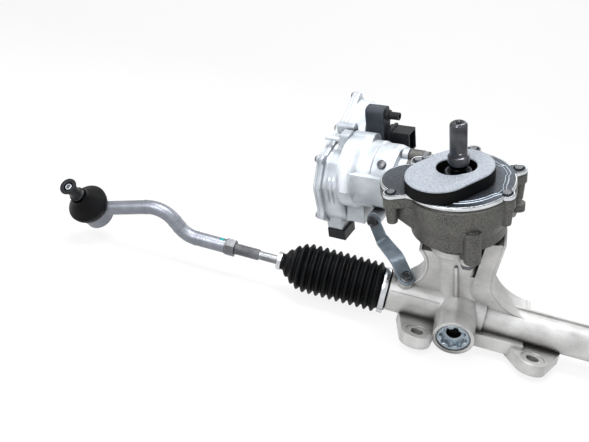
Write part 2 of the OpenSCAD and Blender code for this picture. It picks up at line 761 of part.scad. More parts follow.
// Ring round the joint between pinion and input shaft, hung from the cover, with its plug
module torque_sensor() {
    sensor_z = shaft_cup_z + shaft_cup_len - 4;
    color("darkslategray") pinion_frame() translate([0, 0, sensor_z]) difference() {
        union() {
            cylinder(r = 22, h = rim_top - gap - sensor_z);
            translate([0, 0, rim_top - gap - sensor_z - 5]) cylinder(r = 30, h = 5);
            translate([-44, -8, rim_top - gap - sensor_z - 12]) cube([30, 16, 12]);
        }
        translate([0, 0, -1]) cylinder(r = shaft_cup_r + 2.5, h = 60);
    }
}

module housing_cover() {
    color("slategray") pinion_frame() difference() {
        union() {
            translate([0, 0, rim_top + fit]) linear_extrude(cover_t - fit) cover_outline(0.8);
            translate([0, 0, cover_top - eps]) cylinder(r = seal_boss_r, h = seal_boss_h);
        }
        translate([0, 0, rim_top - 1]) cylinder(r = input_neck_r + 1, h = 40);
        translate([0, 0, cover_top + 1]) cylinder(r = seal_r + fit, h = 40);
        for (p = cover_screws_xy) translate([p[0], p[1], rim_top - 1]) {
            cylinder(r = cover_bolt_r + fit, h = 20);
            translate([0, 0, cover_t + 1 - cover_recess]) cylinder(r = cover_bolt_r * 2.2, h = 10);
        }
    }
}

// Rotary lip seal
module input_seal() {
    seal_h = seal_boss_h - 2;
    color("black") pinion_frame() translate([0, 0, cover_top + 1 + fit]) rotate_extrude() polygon([
        [input_neck_r + gap, 1], [input_neck_r + 1.5, 0], [seal_r, 0], [seal_r, seal_h],
        [input_neck_r + 0.8, seal_h], [input_neck_r + gap, seal_h - 1],
        [input_neck_r + 1.4, seal_h / 2]]);
}

module foam_outline(shrink = 0) {
    difference() {
        hull() {
            translate(foam_back) circle(r = foam_r - shrink);
            translate(foam_front) circle(r = foam_r - shrink);
        }
        hull() {
            translate(foam_hole_a) circle(r = foam_hole_r + shrink / 2);
            translate(foam_hole_b) circle(r = foam_hole_r + shrink / 2);
        }
    }
}

module dash_seal() {
    color("black") pinion_frame() translate([0, 0, foam_z])
        linear_extrude(foam_h - foam_face_t) foam_outline();
}

module dash_seal_face() {
    color("darkgray") pinion_frame() translate([0, 0, foam_z + foam_h - foam_face_t])
        linear_extrude(foam_face_t) foam_outline(0.6);
}

module motor_housing() {
    color("silver") motor_frame() difference() {
        union() {
            translate([0, 0, motor_face]) cylinder(r = motor_flange_r, h = motor_flange_t + 1);
            for (a = motor_bolt_angles)
                rotate(a) translate([motor_bolt_r, 0, motor_face + ear_step])
                    cylinder(r = motor_ear_r, h = motor_flange_t - 3 * ear_step);
            // Shoulder, step and can in one turned outline
            translate([0, 0, can_z]) rotate_extrude($fn = 96) polygon([
                [0, 0], [motor_flange_r, 0], [can_r - 3.5, 3], [can_r - 1.5, shoulder_len],
                [can_r - 1.5, can_len * 0.4], [can_r, can_len * 0.4 + 1.5], [can_r, flare_z], [flare_r, flare_z + 5],
                [flare_r, can_len - fit], [0, can_len - fit]]);
            // Square lower part of the casting
            translate([block_low, block_front, can_z + shoulder_len + 0.7])
                cube([block_high - block_low, 20, block_len]);
            // Bump on the top of the can, beside the control unit
            translate([can_bump[0], can_bump[1], ecu_z - 26.5]) cylinder(r = 14, h = 26.5 - fit);
            // Square box below the can
            translate([-55, -25, ecu_z - box_len]) cube([25, 35, box_len - fit]);
            // Boss for the support bracket
            translate([bracket_up, -bracket_front, bracket_motor_s]) rotate([-90, 0, 0])
                cylinder(r = 8.5, h = bracket_front - 2);
            // Small plug on the front of the can
            translate([0, 0, can_z + 15]) rotate([0, 90, -41])
                translate([0, 0, can_r - 3]) cylinder(r = 4.8, h = 5);
        }
        translate([0, 0, can_z + shoulder_len + 0.5])
            cylinder(r = can_r - can_wall, h = can_len - shoulder_len - 4.5);
        translate([0, 0, motor_face - 1]) cylinder(r = coupling_r + 2, h = 20);
        translate([0, 0, can_z + can_len - 20]) cylinder(r = rotor_shaft_r + 3, h = 30);
        for (a = motor_bolt_angles)
            rotate(a) translate([motor_bolt_r, 0, motor_face - 1])
                cylinder(r = bolt_r + fit, h = motor_flange_t - 0.5);
        translate([bracket_up, -bracket_front - 1, bracket_motor_s]) rotate([-90, 0, 0])
            cylinder(r = bolt_r + fit, h = 11);
    }
}

module motor_stator() {
    color("peru") motor_frame() translate([0, 0, stator_z]) difference() {
        cylinder(r = can_r - can_wall - fit, h = stator_len);
        translate([0, 0, -1]) cylinder(r = rotor_r + 0.8, h = stator_len + 2);
        for (i = [0 : 11]) rotate(i * 30)
            translate([rotor_r - 1, -1.6, -1]) cube([7, 3.2, stator_len + 2]);
    }
}

module motor_screws() {
    color("slategray") motor_frame() for (a = motor_bolt_angles)
        rotate(a) translate([motor_bolt_r, 0, motor_face - 16 - 2 * fit])
            mirror([0, 0, 1]) hex_screw(bolt_r, motor_flange_t + 14);
}

module ecu_shape(shrink = 0) {
    offset(delta = -shrink) polygon(ecu_outline);
}

// Outline with a lobe round each screw
module ecu_lobed(shrink = 0) {
    ecu_shape(shrink);
    for (p = ecu_screw_at) translate(p) circle(r = ecu_lobe_r - shrink, $fn = 32);
}

module ecu_housing() {
    color("silver") motor_frame() difference() {
        union() {
            translate([0, 0, ecu_z]) linear_extrude(ecu_t - fit) ecu_lobed();
            // Cast arm below the housing
            translate([ecu_arm_end, -24, ecu_z + 12]) cube([36, 20, 16]);
            // Raised band on the front side
            translate([0, 0, ecu_z + 9]) linear_extrude(10) intersection() {
                offset(delta = 1.8) polygon(ecu_outline);
                translate([-24, -60]) square([40, 52]);
            }
            // Lug with a long pin
            translate([ecu_lug_at[0] - 10, ecu_lug_at[1] - 7, ecu_z]) cube([22, 20, 7]);
            translate([ecu_lug_at[0] + 3, ecu_lug_at[1], ecu_z + 5]) cylinder(r = 3.6, h = 11 + ecu_pin_len);
        }
        translate([0, 0, ecu_z + 4]) linear_extrude(ecu_t) ecu_shape(ecu_wall);
        translate([0, 0, ecu_z - 1]) cylinder(r = rotor_shaft_r + 3, h = 10);
        for (p = ecu_screw_at) translate([p[0], p[1], ecu_top - 14]) cylinder(r = cover_bolt_r + fit, h = 20);
    }
}

module ecu_board() {
    board_z = ecu_z + 14;
    color("darkgreen") motor_frame() {
        translate([0, 0, board_z]) linear_extrude(1.6) ecu_shape(ecu_wall + gap);
        translate([-20, -12, board_z + 1.6 - eps]) cube([24, 26, 6]);
        for (y = [0, 16, 32]) translate([16, y, board_z + 1.6 - eps]) cylinder(r = 5, h = 8);
    }
}

module ecu_cover() {
    color("silver") motor_frame() difference() {
        union() {
            translate([0, 0, ecu_top]) linear_extrude(ecu_cover_t) ecu_lobed(0.5);
            // Raised rectangular rib
            translate([-24, -20, ecu_top]) cube([34, 46, ecu_cover_t + 2]);
        }
        translate([-20, -16, ecu_top + ecu_cover_t]) cube([26, 38, 10]);
        for (p = ecu_screw_at) translate([p[0], p[1], ecu_top - 1]) cylinder(r = cover_bolt_r + fit, h = 10);
    }
}

module ecu_screws() {
    color("slategray") motor_frame() for (p = ecu_screw_at)
        translate([p[0], p[1], ecu_top + ecu_cover_t + fit]) cap_screw(cover_bolt_r, 16, 3);
}

// Rounded block that carries the two connectors, on the motor side of the control unit
module connector_header() {
    corner = 6;
    color("dimgray") motor_frame() translate([0, 0, ecu_z - header_len]) difference() {
        linear_extrude(header_len - fit) hull() {
            for (x = header_up, y = header_back)
                translate([x + (x < 30 ? corner : -corner), y + (y < 50 ? corner : -corner)])
                    circle(r = corner, $fn = 32);
        }
        translate([header_up[1] - 9, header_back[0] + 8, -1]) cylinder(r = 3, h = 6);
    }
}

module power_connector() {
    color("black") motor_frame() translate([power_up - power_w / 2, power_back - power_d / 2,
            ecu_z - header_len - power_len - fit]) difference() {
        union() {
            cube([power_w, power_d, power_len]);
            translate([-1.5, -1.5, power_len - 8]) cube([power_w + 3, power_d + 3, 4]);
        }
        translate([2, 2, -1]) cube([power_w - 4, power_d - 4, power_len - 5]);
    }
    color("black") motor_frame() for (x = [-5, 5])
        translate([power_up + x - 1, power_back - 4, ecu_z - header_len - power_len + 6])
            cube([2, 8, power_len - 8]);
}

module signal_connector() {
    tube_at = [header_up[1] - 9, header_back[0] + 8];
    color("black") motor_frame() translate([tube_at[0], tube_at[1], ecu_z - header_len]) {
        difference() {
            translate([0, 0, -17]) cylinder(r = 4.5, h = 17 - fit);
            translate([0, 0, -18]) cylinder(r = 3, h = 4);
        }
        translate([0, 0, -5]) ring(6.5, 4, 2.5);
        translate([0, 0, -1]) cylinder(r = 3 - fit, h = 5);
    }
}

// Plug of the torque sensor, under the arm of the control unit
module sensor_connector() {
    color("black") motor_frame() translate([ecu_arm_end - 13 - gap, -26, ecu_z + 5]) {
        difference() {
            cube([13, 26, ecu_t - 8]);
            translate([-1, 4, 4]) cube([9, 18, ecu_t - 16]);
        }
    }
}

// Flat strip bent twice, from the motor to the barrel
module bracket_end_motor() {
    motor_frame() translate([bracket_up, -bracket_front - fit, bracket_motor_s]) rotate([90, 0, 0]) children();
}

module bracket_end_barrel() {
    rack_frame() translate([bracket_barrel_x, 0, 0]) rotate([bracket_barrel_angle, 0, 0])
        translate([0, 0, bracket_barrel_r + fit]) children();
}

module bracket_bend_bar() {
    rack_frame() translate(bracket_bend) rotate([40, 0, -20])
        cube([bracket_w, bracket_t, bracket_t], center = true);
}

// Hole for a bolt, with room for its head
module bracket_bolt_space() {
    translate([0, 0, -5]) cylinder(r = bolt_r + fit, h = 20);
    translate([0, 0, bracket_t - 0.2]) cylinder(r = bolt_r * 1.85 + 1, h = 14);
}

module support_bracket() {
    color("lightsteelblue") difference() {
        union() {
            hull() {
                bracket_end_motor() cylinder(r = bracket_w / 2, h = bracket_t, $fn = 32);
                bracket_bend_bar();
            }
            hull() {
                bracket_end_barrel() cylinder(r = bracket_w / 2, h = bracket_t, $fn = 32);
                bracket_bend_bar();
            }
        }
        bracket_end_motor() bracket_bolt_space();
        bracket_end_barrel() bracket_bolt_space();
    }
}

module bracket_bolts() {
    color("slategray") {
        bracket_end_motor() translate([0, 0, bracket_t + fit]) hex_screw(bolt_r, bracket_t + 7);
        bracket_end_barrel() translate([0, 0, bracket_t + fit]) hex_screw(bolt_r, bracket_t + 7);
    }
}

// Radius of a boot's fold i: crests and roots in turn, with a domed nose
function boot_r(i, inset) =
    let (dome = min(1, sin(min(90, 22 + i * 68 / 7))))
    (i % 2 == 0 ? boot_crest_r : boot_root_r) * dome - inset;

module boot_shape() {
    fold_z = boot_nose_len + 2;
    fold_step = (boot_len - boot_cuff_len - 2 - fold_z) / (2 * boot_folds);
    outer = [for (i = [0 : 2 * boot_folds]) [boot_r(i, 0), fold_z + (i + 0.5) * fold_step]];
    inner = [for (i = [2 * boot_folds : -1 : 0])
        [boot_r(i, boot_wall), fold_z + (i + 0.5) * fold_step + (i == 0 ? boot_wall : 0)]];
    cuff_z = boot_len - boot_cuff_len;
    rotate_extrude() polygon(concat(
        [[rod_neck_r + gap, 0], [boot_nose_r, 0], [boot_nose_r, fold_z - 1]], outer,
        [[collar_r + gap + 2, cuff_z], [collar_r + gap + 2, boot_len], [collar_r + gap, boot_len],
            [collar_r + gap, cuff_z - 0.6]],
        inner, [[rod_neck_r + gap, fold_z + 1]]));
}

module left_boot() {
    color("black") along_rack(boot_x) boot_shape();
}

module right_boot() {
    color("black") other_end() along_rack(boot_x) boot_shape();
}

// Ear clamp on the cuff of a boot
module boot_clamp() {
    inner = collar_r + gap + 2 + gap;
    along_rack(boot_x + boot_len - boot_cuff_len + 2) {
        ring(inner + clamp_t, inner, clamp_w);
        rotate(35) translate([inner + clamp_t - 0.3, -4, 1]) difference() {
            cube([3.5, 8, clamp_w - 2]);
            translate([-1, 1, -1]) cube([3.5, 6, clamp_w]);
        }
    }
}

module boot_clamps() {
    color("gainsboro") {
        boot_clamp();
        other_end() boot_clamp();
    }
}

module boot_ring() {
    along_rack(boot_x) ring(boot_nose_r + gap + 1.2, boot_nose_r + gap, boot_ring_w, 0.5);
}

module left_boot_ring() {
    color("gainsboro") boot_ring();
}

module right_boot_ring() {
    color("gainsboro") other_end() boot_ring();
}

// Spaces between the rack teeth, cut parallel to the pinion
module rack_tooth_spaces() {
    pitch = PI * tooth_m;
    count = floor((rack_travel + 13) * cos(pinion_angle) / pitch);
    half_datum = pitch / 4 + tooth_backlash / 2;
    out = rack_datum - rack_tip + 1;
    in = rack_root - rack_datum;
    slope = tan(pressure_angle);
    linear_extrude(60, center = true) for (i = [-count : count - 1])
        translate([(i + 0.5) * pitch, -rack_datum]) polygon([
            [-half_datum - out * slope, out], [-half_datum + in * slope, -in],
            [half_datum - in * slope, -in], [half_datum + out * slope, out]]);
}

module rack_bar() {
    flat_len = 2 * (rack_travel + 14);
    color("silver") difference() {
        along_rack(rack_mid_x - rack_half) cylinder(r = rack_r, h = 2 * rack_half);
        pinion_frame() {
            translate([-flat_len / 2, -rack_tip, -40]) cube([flat_len, 40, 80]);
            rack_tooth_spaces();
        }
    }
}

// Housing of the inner ball, screwed on to the end of the rack
module inner_socket() {
    mouth = inner_seat_r + gap;
    top = inner_ball_x - fit;
    arc_steps = 20;
    hollow = [for (i = [0 : arc_steps]) let (a = i * (180 - inner_mouth) / arc_steps) mouth * [sin(a), cos(a)]];
    color("gray") inner_ball_frame() rotate([0, 90, 0]) {
        rotate_extrude() polygon(concat(
            [[socket_r, -mouth * cos(inner_mouth)], [socket_r, top], [0, top]], hollow));
        // Six flats for the wrench
        translate([0, 0, 8]) difference() {
            cylinder(r = socket_r + 0.9, h = 8, $fn = 6);
            translate([0, 0, -1]) cylinder(r = socket_r - 1.5, h = 10);
        }
    }
}

module left_inner_socket() {
    inner_socket();
}

module right_inner_socket() {
    other_end() inner_socket();
}

// Plastic shell round the ball
module ball_seat(outer, inner, mouth) {
    difference() {
        sphere(r = outer);
        sphere(r = inner);
        cylinder(r1 = 0.5, r2 = 0.5 + 40 * tan(mouth), h = 40);
        translate([0, 0, -outer - 1]) cylinder(r = outer / 3, h = outer);
    }
}

module left_inner_seat() {
    color("ivory") inner_ball_frame() rotate([0, -90, 0])
        ball_seat(inner_seat_r, inner_ball_r + fit, inner_mouth + 1);
}

module right_inner_seat() {
    other_end() left_inner_seat();
}

module tie_rod() {
    color("silver") inner_ball_frame() {
        sphere(r = inner_ball_r);
        rotate([0, -90, 0]) {
            cylinder(r = rod_neck_r + 1.5, h = 20);
            translate([0, 0, 20 - eps]) cylinder(r1 = rod_neck_r + 1.5, r2 = rod_neck_r, h = 6);
            cylinder(r = rod_neck_r, h = -neck_len);
            translate([0, 0, -neck_len - eps]) cylinder(r = rod_thread_r, h = tie_rod_len + neck_len);
        }
    }
}

module left_tie_rod() {
    tie_rod();
}

module right_tie_rod() {
    other_end() tie_rod();
}

module jam_nut() {
    color("dimgray") inner_ball_frame() rotate([0, -90, 0]) difference() {
        union() {
            translate([0, 0, jam_nut_x]) cylinder(r = jam_nut_af / sqrt(3), h = jam_nut_t - 1.6, $fn = 6);
            translate([0, 0, jam_nut_x + jam_nut_t - 1.7]) cylinder(r = jam_nut_af / 2 - 0.4, h = 1.65);
        }
        cylinder(r = rod_thread_r + fit, h = 400);
    }
}

module left_jam_nut() {
    jam_nut();
}

module right_jam_nut() {
    other_end() jam_nut();
}

// Torus piece that starts at the origin along -X and turns up by angle
module bend(arc_r, angle, r) {
    translate([0, 0, arc_r]) rotate([-90, 90, 0])
        rotate_extrude(angle = angle, $fn = 96) translate([arc_r, 0]) circle(r = r, $fn = 48);
}

// Forged land where two pieces of the bar meet, with the bar rising by angle
module bar_land(x, z, angle) {
    translate([x, 0, z]) rotate([0, angle - 90, 0]) cylinder(r = rod_end_r + 0.25, h = 3, center = true);
}

// Bar of the rod end, as straight pieces and two bends
module rod_end_bar() {
    inner_ball_frame() {
        bar_land(-rise_start, 0, 0);
        bar_land(bend_a_at[0] - rise_start, bend_a_at[1], bend_a);
        bar_land(gap_at[0] - rise_start, gap_at[1], bend_a);
        bar_land(bend_b_at[0] - rise_start, bend_b_at[1], -bend_drop);
        translate([-rod_start, 0, 0]) rotate([0, -90, 0]) cylinder(r = rod_end_r, h = rise_start - rod_start);
        translate([-rise_start, 0, 0]) {
            bend(bend_a_r, bend_a, rod_end_r);
            translate([bend_a_at[0], 0, bend_a_at[1]]) rotate([0, bend_a - 90, 0])
                cylinder(r = rod_end_r, h = bend_gap);
            translate([gap_at[0], 0, gap_at[1]]) rotate([0, bend_a, 0]) mirror([0, 0, 1])
                bend(bend_b_r, bend_a + bend_drop, rod_end_r);
            translate([bend_b_at[0], 0, bend_b_at[1]]) rotate([0, -bend_drop - 90, 0])
                cylinder(r = rod_end_r, h = drop_len - eye_r + 4);
        }
    }
}

module rod_end() {
    mouth = outer_seat_r + gap;
    color("silver") difference() {
        union() {
            rod_end_bar();
            stud_frame() {
                translate([0, 0, -eye_back]) cylinder(r = eye_r, h = eye_back + eye_front);
                translate([0, 0, -eye_back - 3]) cylinder(r1 = eye_r - 6, r2 = eye_r - 2, h = 3 + eps);
            }
        }
        stud_frame() {
            sphere(r = mouth);
            cylinder(r1 = 0.5, r2 = 0.5 + 30 * tan(outer_mouth), h = 30);
            // Step that the dust boot grips
            translate([0, 0, dust_z - 4 - gap]) ring(eye_r + 3, eye_step_r, 8);
        }
        // Threaded hole for the tie rod
        inner_ball_frame() rotate([0, -90, 0]) cylinder(r = rod_thread_r + fit, h = tie_rod_len + 3);
    }
}

module left_rod_end() {
    rod_end();
}

module right_rod_end() {
    other_end() rod_end();
}

module outer_seat() {
    color("ivory") stud_frame() ball_seat(outer_seat_r, outer_ball_r + fit, outer_mouth + 2);
}

module left_outer_seat() {
    outer_seat();
}

module right_outer_seat() {
    other_end() outer_seat();
}

// Ball stud with taper and threaded end
module stud() {
    cap_z = stud_len - stud_cap_len;
    color("gray") stud_frame() {
        sphere(r = outer_ball_r);
        cylinder(r = stud_neck_r, h = 18);
        translate([0, 0, 18 - eps]) cylinder(r1 = stud_neck_r, r2 = stud_neck_r - 1.6, h = cap_z - 18);
        translate([0, 0, cap_z - 2 * eps]) cylinder(r = 5, h = stud_cap_len - 3);
    }
}

module left_stud() {
    stud();
}

module right_stud() {
    other_end() stud();
}

// Bulged rubber boot between the rod end and the stud
module dust_boot() {
    color("black") stud_frame() translate([0, 0, dust_z - 4]) rotate_extrude() polygon([
        [eye_step_r + gap, 0], [eye_r + gap + 1.6, 0], [eye_r + gap + 1.6, 3.5], [dust_boot_r, 7],
        [dust_boot_r, 11], [dust_boot_r - 2, 15], [dust_boot_r - 7, 19], [stud_neck_r + 3.5, 21],
        [stud_neck_r + 3.5, 25], [stud_neck_r + gap, 25], [stud_neck_r + gap, 19.5],
        [dust_boot_r - 8, 17], [dust_boot_r - 3.6, 13.5], [dust_boot_r - 1.7, 10.5],
        [dust_boot_r - 1.7, 7.5], [eye_step_r + gap, 4.6]]);
}

module left_dust_boot() {
    dust_boot();
}

module right_dust_boot() {
    other_end() dust_boot();
}

// Plastic cap that protects the thread of the stud
module stud_cap() {
    cap_z = stud_len - stud_cap_len;
    color("black") stud_frame() translate([0, 0, cap_z]) difference() {
        union() {
            cylinder(r = 7.2, h = stud_cap_len);
            cylinder(r = 8.6, h = 2);
            translate([0, 0, stud_cap_len - 2]) cylinder(r = 8.4, h = 2);
        }
        translate([0, 0, -1]) cylinder(r = 5 + gap, h = stud_cap_len - 1.5);
        translate([0, 0, stud_cap_len - 5]) cylinder(r = 3.5, h = 6);
    }
}

module left_stud_cap() {
    stud_cap();
}

module right_stud_cap() {
    other_end() stud_cap();
}

module pinion_shaft() {
    cup_base = shaft_cup_z - 2;
    color("silver") pinion_frame() difference() {
        union() {
            translate([0, 0, pinion_foot]) rotate(-90 + 180 / pinion_teeth) linear_extrude(pinion_face)
                polygon(gear_outline(tooth_m, pinion_teeth, pinion_shift, pinion_root_r, pinion_tip_r, 0, 6));
            translate([0, 0, -tower_foot + 6]) cylinder(r = lower_journal_r, h = 40);
            translate([0, 0, pinion_head - eps]) cylinder(r = pinion_shaft_r, h = cup_base - pinion_head + 1);
            translate([0, 0, cup_base]) cylinder(r = shaft_cup_r, h = shaft_cup_len);
        }
        translate([0, 0, torsion_foot]) cylinder(r = torsion_fit_r + fit, h = 200);
        translate([0, 0, shaft_cup_z + 2]) cylinder(r = input_neck_r + fit, h = 40);
    }
}

module worm_wheel_hub() {
    color("gray") pinion_frame() translate([0, 0, worm_height]) difference() {
        cylinder(r = wheel_split_r, h = wheel_face, center = true);
        cylinder(r = pinion_shaft_r + fit, h = wheel_face + 2, center = true);
        for (side = [0, 1]) mirror([0, 0, side]) translate([0, 0, wheel_face / 2 - 4])
            ring(wheel_split_r - 4, pinion_shaft_r + 6, 6);
    }
}

module worm_wheel_rim() {
    worm_angle = worm_lead / (2 * PI * worm_pitch_r);
    twist_angle = wheel_face * worm_angle / wheel_pitch_r * 180 / PI;
    color("ivory") pinion_frame() translate([0, 0, worm_height]) difference() {
        rotate(90 - motor_turn + 180 / wheel_teeth - twist_angle / 2)
            linear_extrude(wheel_face, center = true, twist = -twist_angle, slices = 2)
                polygon(gear_outline(wheel_m, wheel_teeth, 0, wheel_root_r, wheel_tip_r, 2 * worm_clearance, 3));
        cylinder(r = wheel_split_r + fit, h = wheel_face + 2, center = true);
    }
}

module input_shaft() {
    cup_gap = 1;
    foot = shaft_cup_z + 2 + cup_gap;
    chamfer = 2;
    color("darkgray") pinion_frame() difference() {
        union() {
            translate([0, 0, foot]) cylinder(r = input_neck_r, h = neck_z - foot);
            translate([0, 0, neck_z - eps])
                cylinder(r1 = input_neck_r, r2 = input_collar_r - 0.8, h = collar_z - neck_z + 2 * eps);
            translate([0, 0, collar_z]) cylinder(r = input_collar_r, h = input_collar_len);
            translate([0, 0, spline_z - eps]) cylinder(r = input_r, h = input_spline_len - chamfer);
            translate([0, 0, input_top - chamfer - 2 * eps])
                cylinder(r1 = input_r, r2 = input_r - chamfer, h = chamfer);
        }
        translate([0, 0, foot - 1]) cylinder(r = torsion_fit_r + fit, h = input_top - 10 - foot);
        rotate(35) translate([-20, -input_flat - 10, spline_z]) cube([40, 10, 40]);
    }
}

module torsion_bar() {
    grip = 12;
    top = input_top - 11.5;
    color("silver") pinion_frame() {
        translate([0, 0, torsion_foot + gap]) cylinder(r = torsion_fit_r, h = grip);
        translate([0, 0, torsion_foot + grip]) cylinder(r = torsion_r, h = top - torsion_foot - 2 * grip);
        translate([0, 0, top - grip - eps]) cylinder(r = torsion_fit_r, h = grip);
    }
}

module worm_shaft() {
    steps_per_turn = 24;
    turns = worm_len / worm_lead;
    color("silver") motor_frame() {
        rotate(-90 - turns * 180) translate([0, 0, -worm_len / 2])
            linear_extrude(worm_len, twist = -turns * 360, slices = ceil(turns * steps_per_turn), segments = 1)
                polygon(worm_section(worm_starts));
        translate([0, 0, -worm_bearing_z - worm_bearing_len + 1])
            cylinder(r = worm_journal_r, h = worm_bearing_z + coupling_z + worm_bearing_len - 1);
        translate([0, 0, coupling_z]) cylinder(r = coupling_r, h = coupling_t);
        for (i = [0 : 2]) rotate(i * 120)
            translate([5, -2, coupling_z + coupling_t - eps]) cube([5.5, 4, 4]);
    }
}

module motor_rotor() {
    rotor_z = stator_z + 2;
    disc_z = coupling_z + coupling_t + gap;
    color("dimgray") motor_frame() {
        difference() {
            translate([0, 0, disc_z]) cylinder(r = coupling_r, h = coupling_t);
            for (i = [0 : 2]) rotate(i * 120)
                translate([5 - gap, -2 - gap, disc_z - 1]) cube([5.5 + 2 * gap, 4 + 2 * gap, 5]);
        }
        translate([0, 0, disc_z + coupling_t - eps])
            cylinder(r = rotor_shaft_r, h = ecu_z + 5 - disc_z - coupling_t);
        difference() {
            translate([0, 0, rotor_z]) cylinder(r = rotor_r, h = stator_len - 4);
            for (i = [0 : 7]) rotate(i * 45)
                translate([rotor_r - 2, -0.8, rotor_z - 1]) cube([4, 1.6, stator_len]);
        }
    }
}

rack_housing();
rack_bushes();
lower_bearing();
upper_bearing();
yoke();
yoke_spring();
yoke_plug();
gear_housing();
housing_screws();
worm_bearings();
torque_sensor();
housing_cover();
input_seal();
dash_seal();
dash_seal_face();
motor_housing();
motor_stator();
motor_screws();
ecu_housing();
ecu_board();
ecu_cover();
ecu_screws();
connector_header();
power_connector();
signal_connector();
sensor_connector();
support_bracket();
bracket_bolts();
left_boot();
right_boot();
boot_clamps();
rack_bar();
left_inner_socket();
right_inner_socket();
left_inner_seat();
right_inner_seat();
left_tie_rod();
right_tie_rod();
left_jam_nut();
right_jam_nut();
left_rod_end();
right_rod_end();
left_boot_ring();
right_boot_ring();
left_dust_boot();
right_dust_boot();
left_outer_seat();
right_outer_seat();
left_stud();
right_stud();
left_stud_cap();
right_stud_cap();
pinion_shaft();
worm_wheel_hub();
worm_wheel_rim();
input_shaft();
torsion_bar();
worm_shaft();
motor_rotor();
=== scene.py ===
import math

import bmesh
import bpy
import numpy as np
from mathutils import Matrix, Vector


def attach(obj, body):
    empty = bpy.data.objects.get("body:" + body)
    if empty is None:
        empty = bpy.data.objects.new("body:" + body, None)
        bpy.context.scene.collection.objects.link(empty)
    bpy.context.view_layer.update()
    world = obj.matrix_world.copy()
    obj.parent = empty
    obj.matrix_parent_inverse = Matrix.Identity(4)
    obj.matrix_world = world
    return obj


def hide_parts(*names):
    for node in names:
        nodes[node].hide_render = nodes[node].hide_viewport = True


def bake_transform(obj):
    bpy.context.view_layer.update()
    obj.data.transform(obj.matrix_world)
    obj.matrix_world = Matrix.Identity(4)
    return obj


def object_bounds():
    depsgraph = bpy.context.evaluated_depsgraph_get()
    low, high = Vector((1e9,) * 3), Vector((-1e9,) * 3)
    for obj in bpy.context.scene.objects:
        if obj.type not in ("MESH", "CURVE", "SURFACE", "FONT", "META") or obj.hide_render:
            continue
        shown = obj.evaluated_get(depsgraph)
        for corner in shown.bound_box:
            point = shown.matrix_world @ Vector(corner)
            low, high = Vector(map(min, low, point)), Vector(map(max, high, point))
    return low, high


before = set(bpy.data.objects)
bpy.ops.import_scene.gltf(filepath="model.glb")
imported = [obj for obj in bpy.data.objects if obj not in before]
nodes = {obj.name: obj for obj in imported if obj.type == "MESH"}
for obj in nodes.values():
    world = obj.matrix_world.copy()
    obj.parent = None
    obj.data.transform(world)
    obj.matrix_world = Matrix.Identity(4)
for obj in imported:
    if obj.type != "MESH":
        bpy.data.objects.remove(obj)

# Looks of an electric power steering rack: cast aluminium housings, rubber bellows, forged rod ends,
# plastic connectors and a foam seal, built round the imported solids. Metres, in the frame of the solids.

cad_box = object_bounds()
MM = 0.001
PER_M = 1000.0  # a noise of scale PER_M / size has blobs about size millimetres across
TAU = 2 * math.pi

# ---------------------------------------------------------------- places, in millimetres
RACK_AXIS = np.array([37.0, 46.0, 28.5])
RACK_MIDDLE = 155.0
PINION_OFFSET = 16.2
PINION_LEAN = 17.0
PINION_ANGLE = 14.0
MOTOR_TURN = 15.0
WORM_OFFSET = 50.0
WORM_HEIGHT = 110.0
INNER_BALL = -170.0
OUTER_BALL = np.array([-433.0, 0.0, 2.7625])
STUD_TILT = 49.5
STUD_HEADING = 106.8
HOUSING_END = -84.5
BOOT_NOSE = -204.0
SIDES = ("left", "right")


def about_x(degrees):
    """Rotation matrix about X."""
    c, s = math.cos(math.radians(degrees)), math.sin(math.radians(degrees))
    return np.array([[1, 0, 0], [0, c, -s], [0, s, c]])


def about_y(degrees):
    """Rotation matrix about Y."""
    c, s = math.cos(math.radians(degrees)), math.sin(math.radians(degrees))
    return np.array([[c, 0, s], [0, 1, 0], [-s, 0, c]])


def about_z(degrees):
    """Rotation matrix about Z."""
    c, s = math.cos(math.radians(degrees)), math.sin(math.radians(degrees))
    return np.array([[c, -s, 0], [s, c, 0], [0, 0, 1]])


def on_rack(points):
    """Points measured from the rack axis under the pinion, X along the rack, moved to the part's frame."""
    return np.asarray(points, float) + RACK_AXIS


def along_rack(points, start):
    """Points of a turned shape about Z, laid along the rack: Z becomes X, from start."""
    p = np.asarray(points, float)
    return on_rack(np.stack([p[..., 2] + start, p[..., 1], -p[..., 0]], -1))


def on_pinion(points):
    """Points measured along the leaning pinion, with Z up its axis."""
    p = np.asarray(points, float) @ about_y(-PINION_ANGLE).T + [0, PINION_OFFSET, 0]
    return on_rack(p @ about_x(PINION_LEAN).T)


def on_motor(points):
    """Points measured on the motor: X up, Y back, Z along the worm towards the motor."""
    p = np.asarray(points, float) @ about_y(-90).T + [0, WORM_OFFSET, WORM_HEIGHT]
    return on_pinion(p @ about_z(-MOTOR_TURN).T)


def on_stud(points):
    """Points measured from the centre of the left outer ball, with Z out along its stud."""
    p = np.asarray(points, float) @ about_y(STUD_TILT).T @ about_z(-STUD_HEADING).T
    return on_rack(p + OUTER_BALL)


def at_end(side, points):
    """Points of the rack's left end as they are, or mirrored about its middle for the right end."""
    p = np.array(points, float)
    if side == "right":
        p[..., 0] = 2 * (RACK_AXIS[0] + RACK_MIDDLE) - p[..., 0]
    return p


# ---------------------------------------------------------------- materials

def hex_colour(text):
    """sRGB hex to the linear colour that shaders take."""
    c = np.array([int(text[i:i + 2], 16) for i in (1, 3, 5)]) / 255
    c = np.where(c <= 0.04045, c / 12.92, ((c + 0.055) / 1.055) ** 2.4)
    return (*c, 1.0)


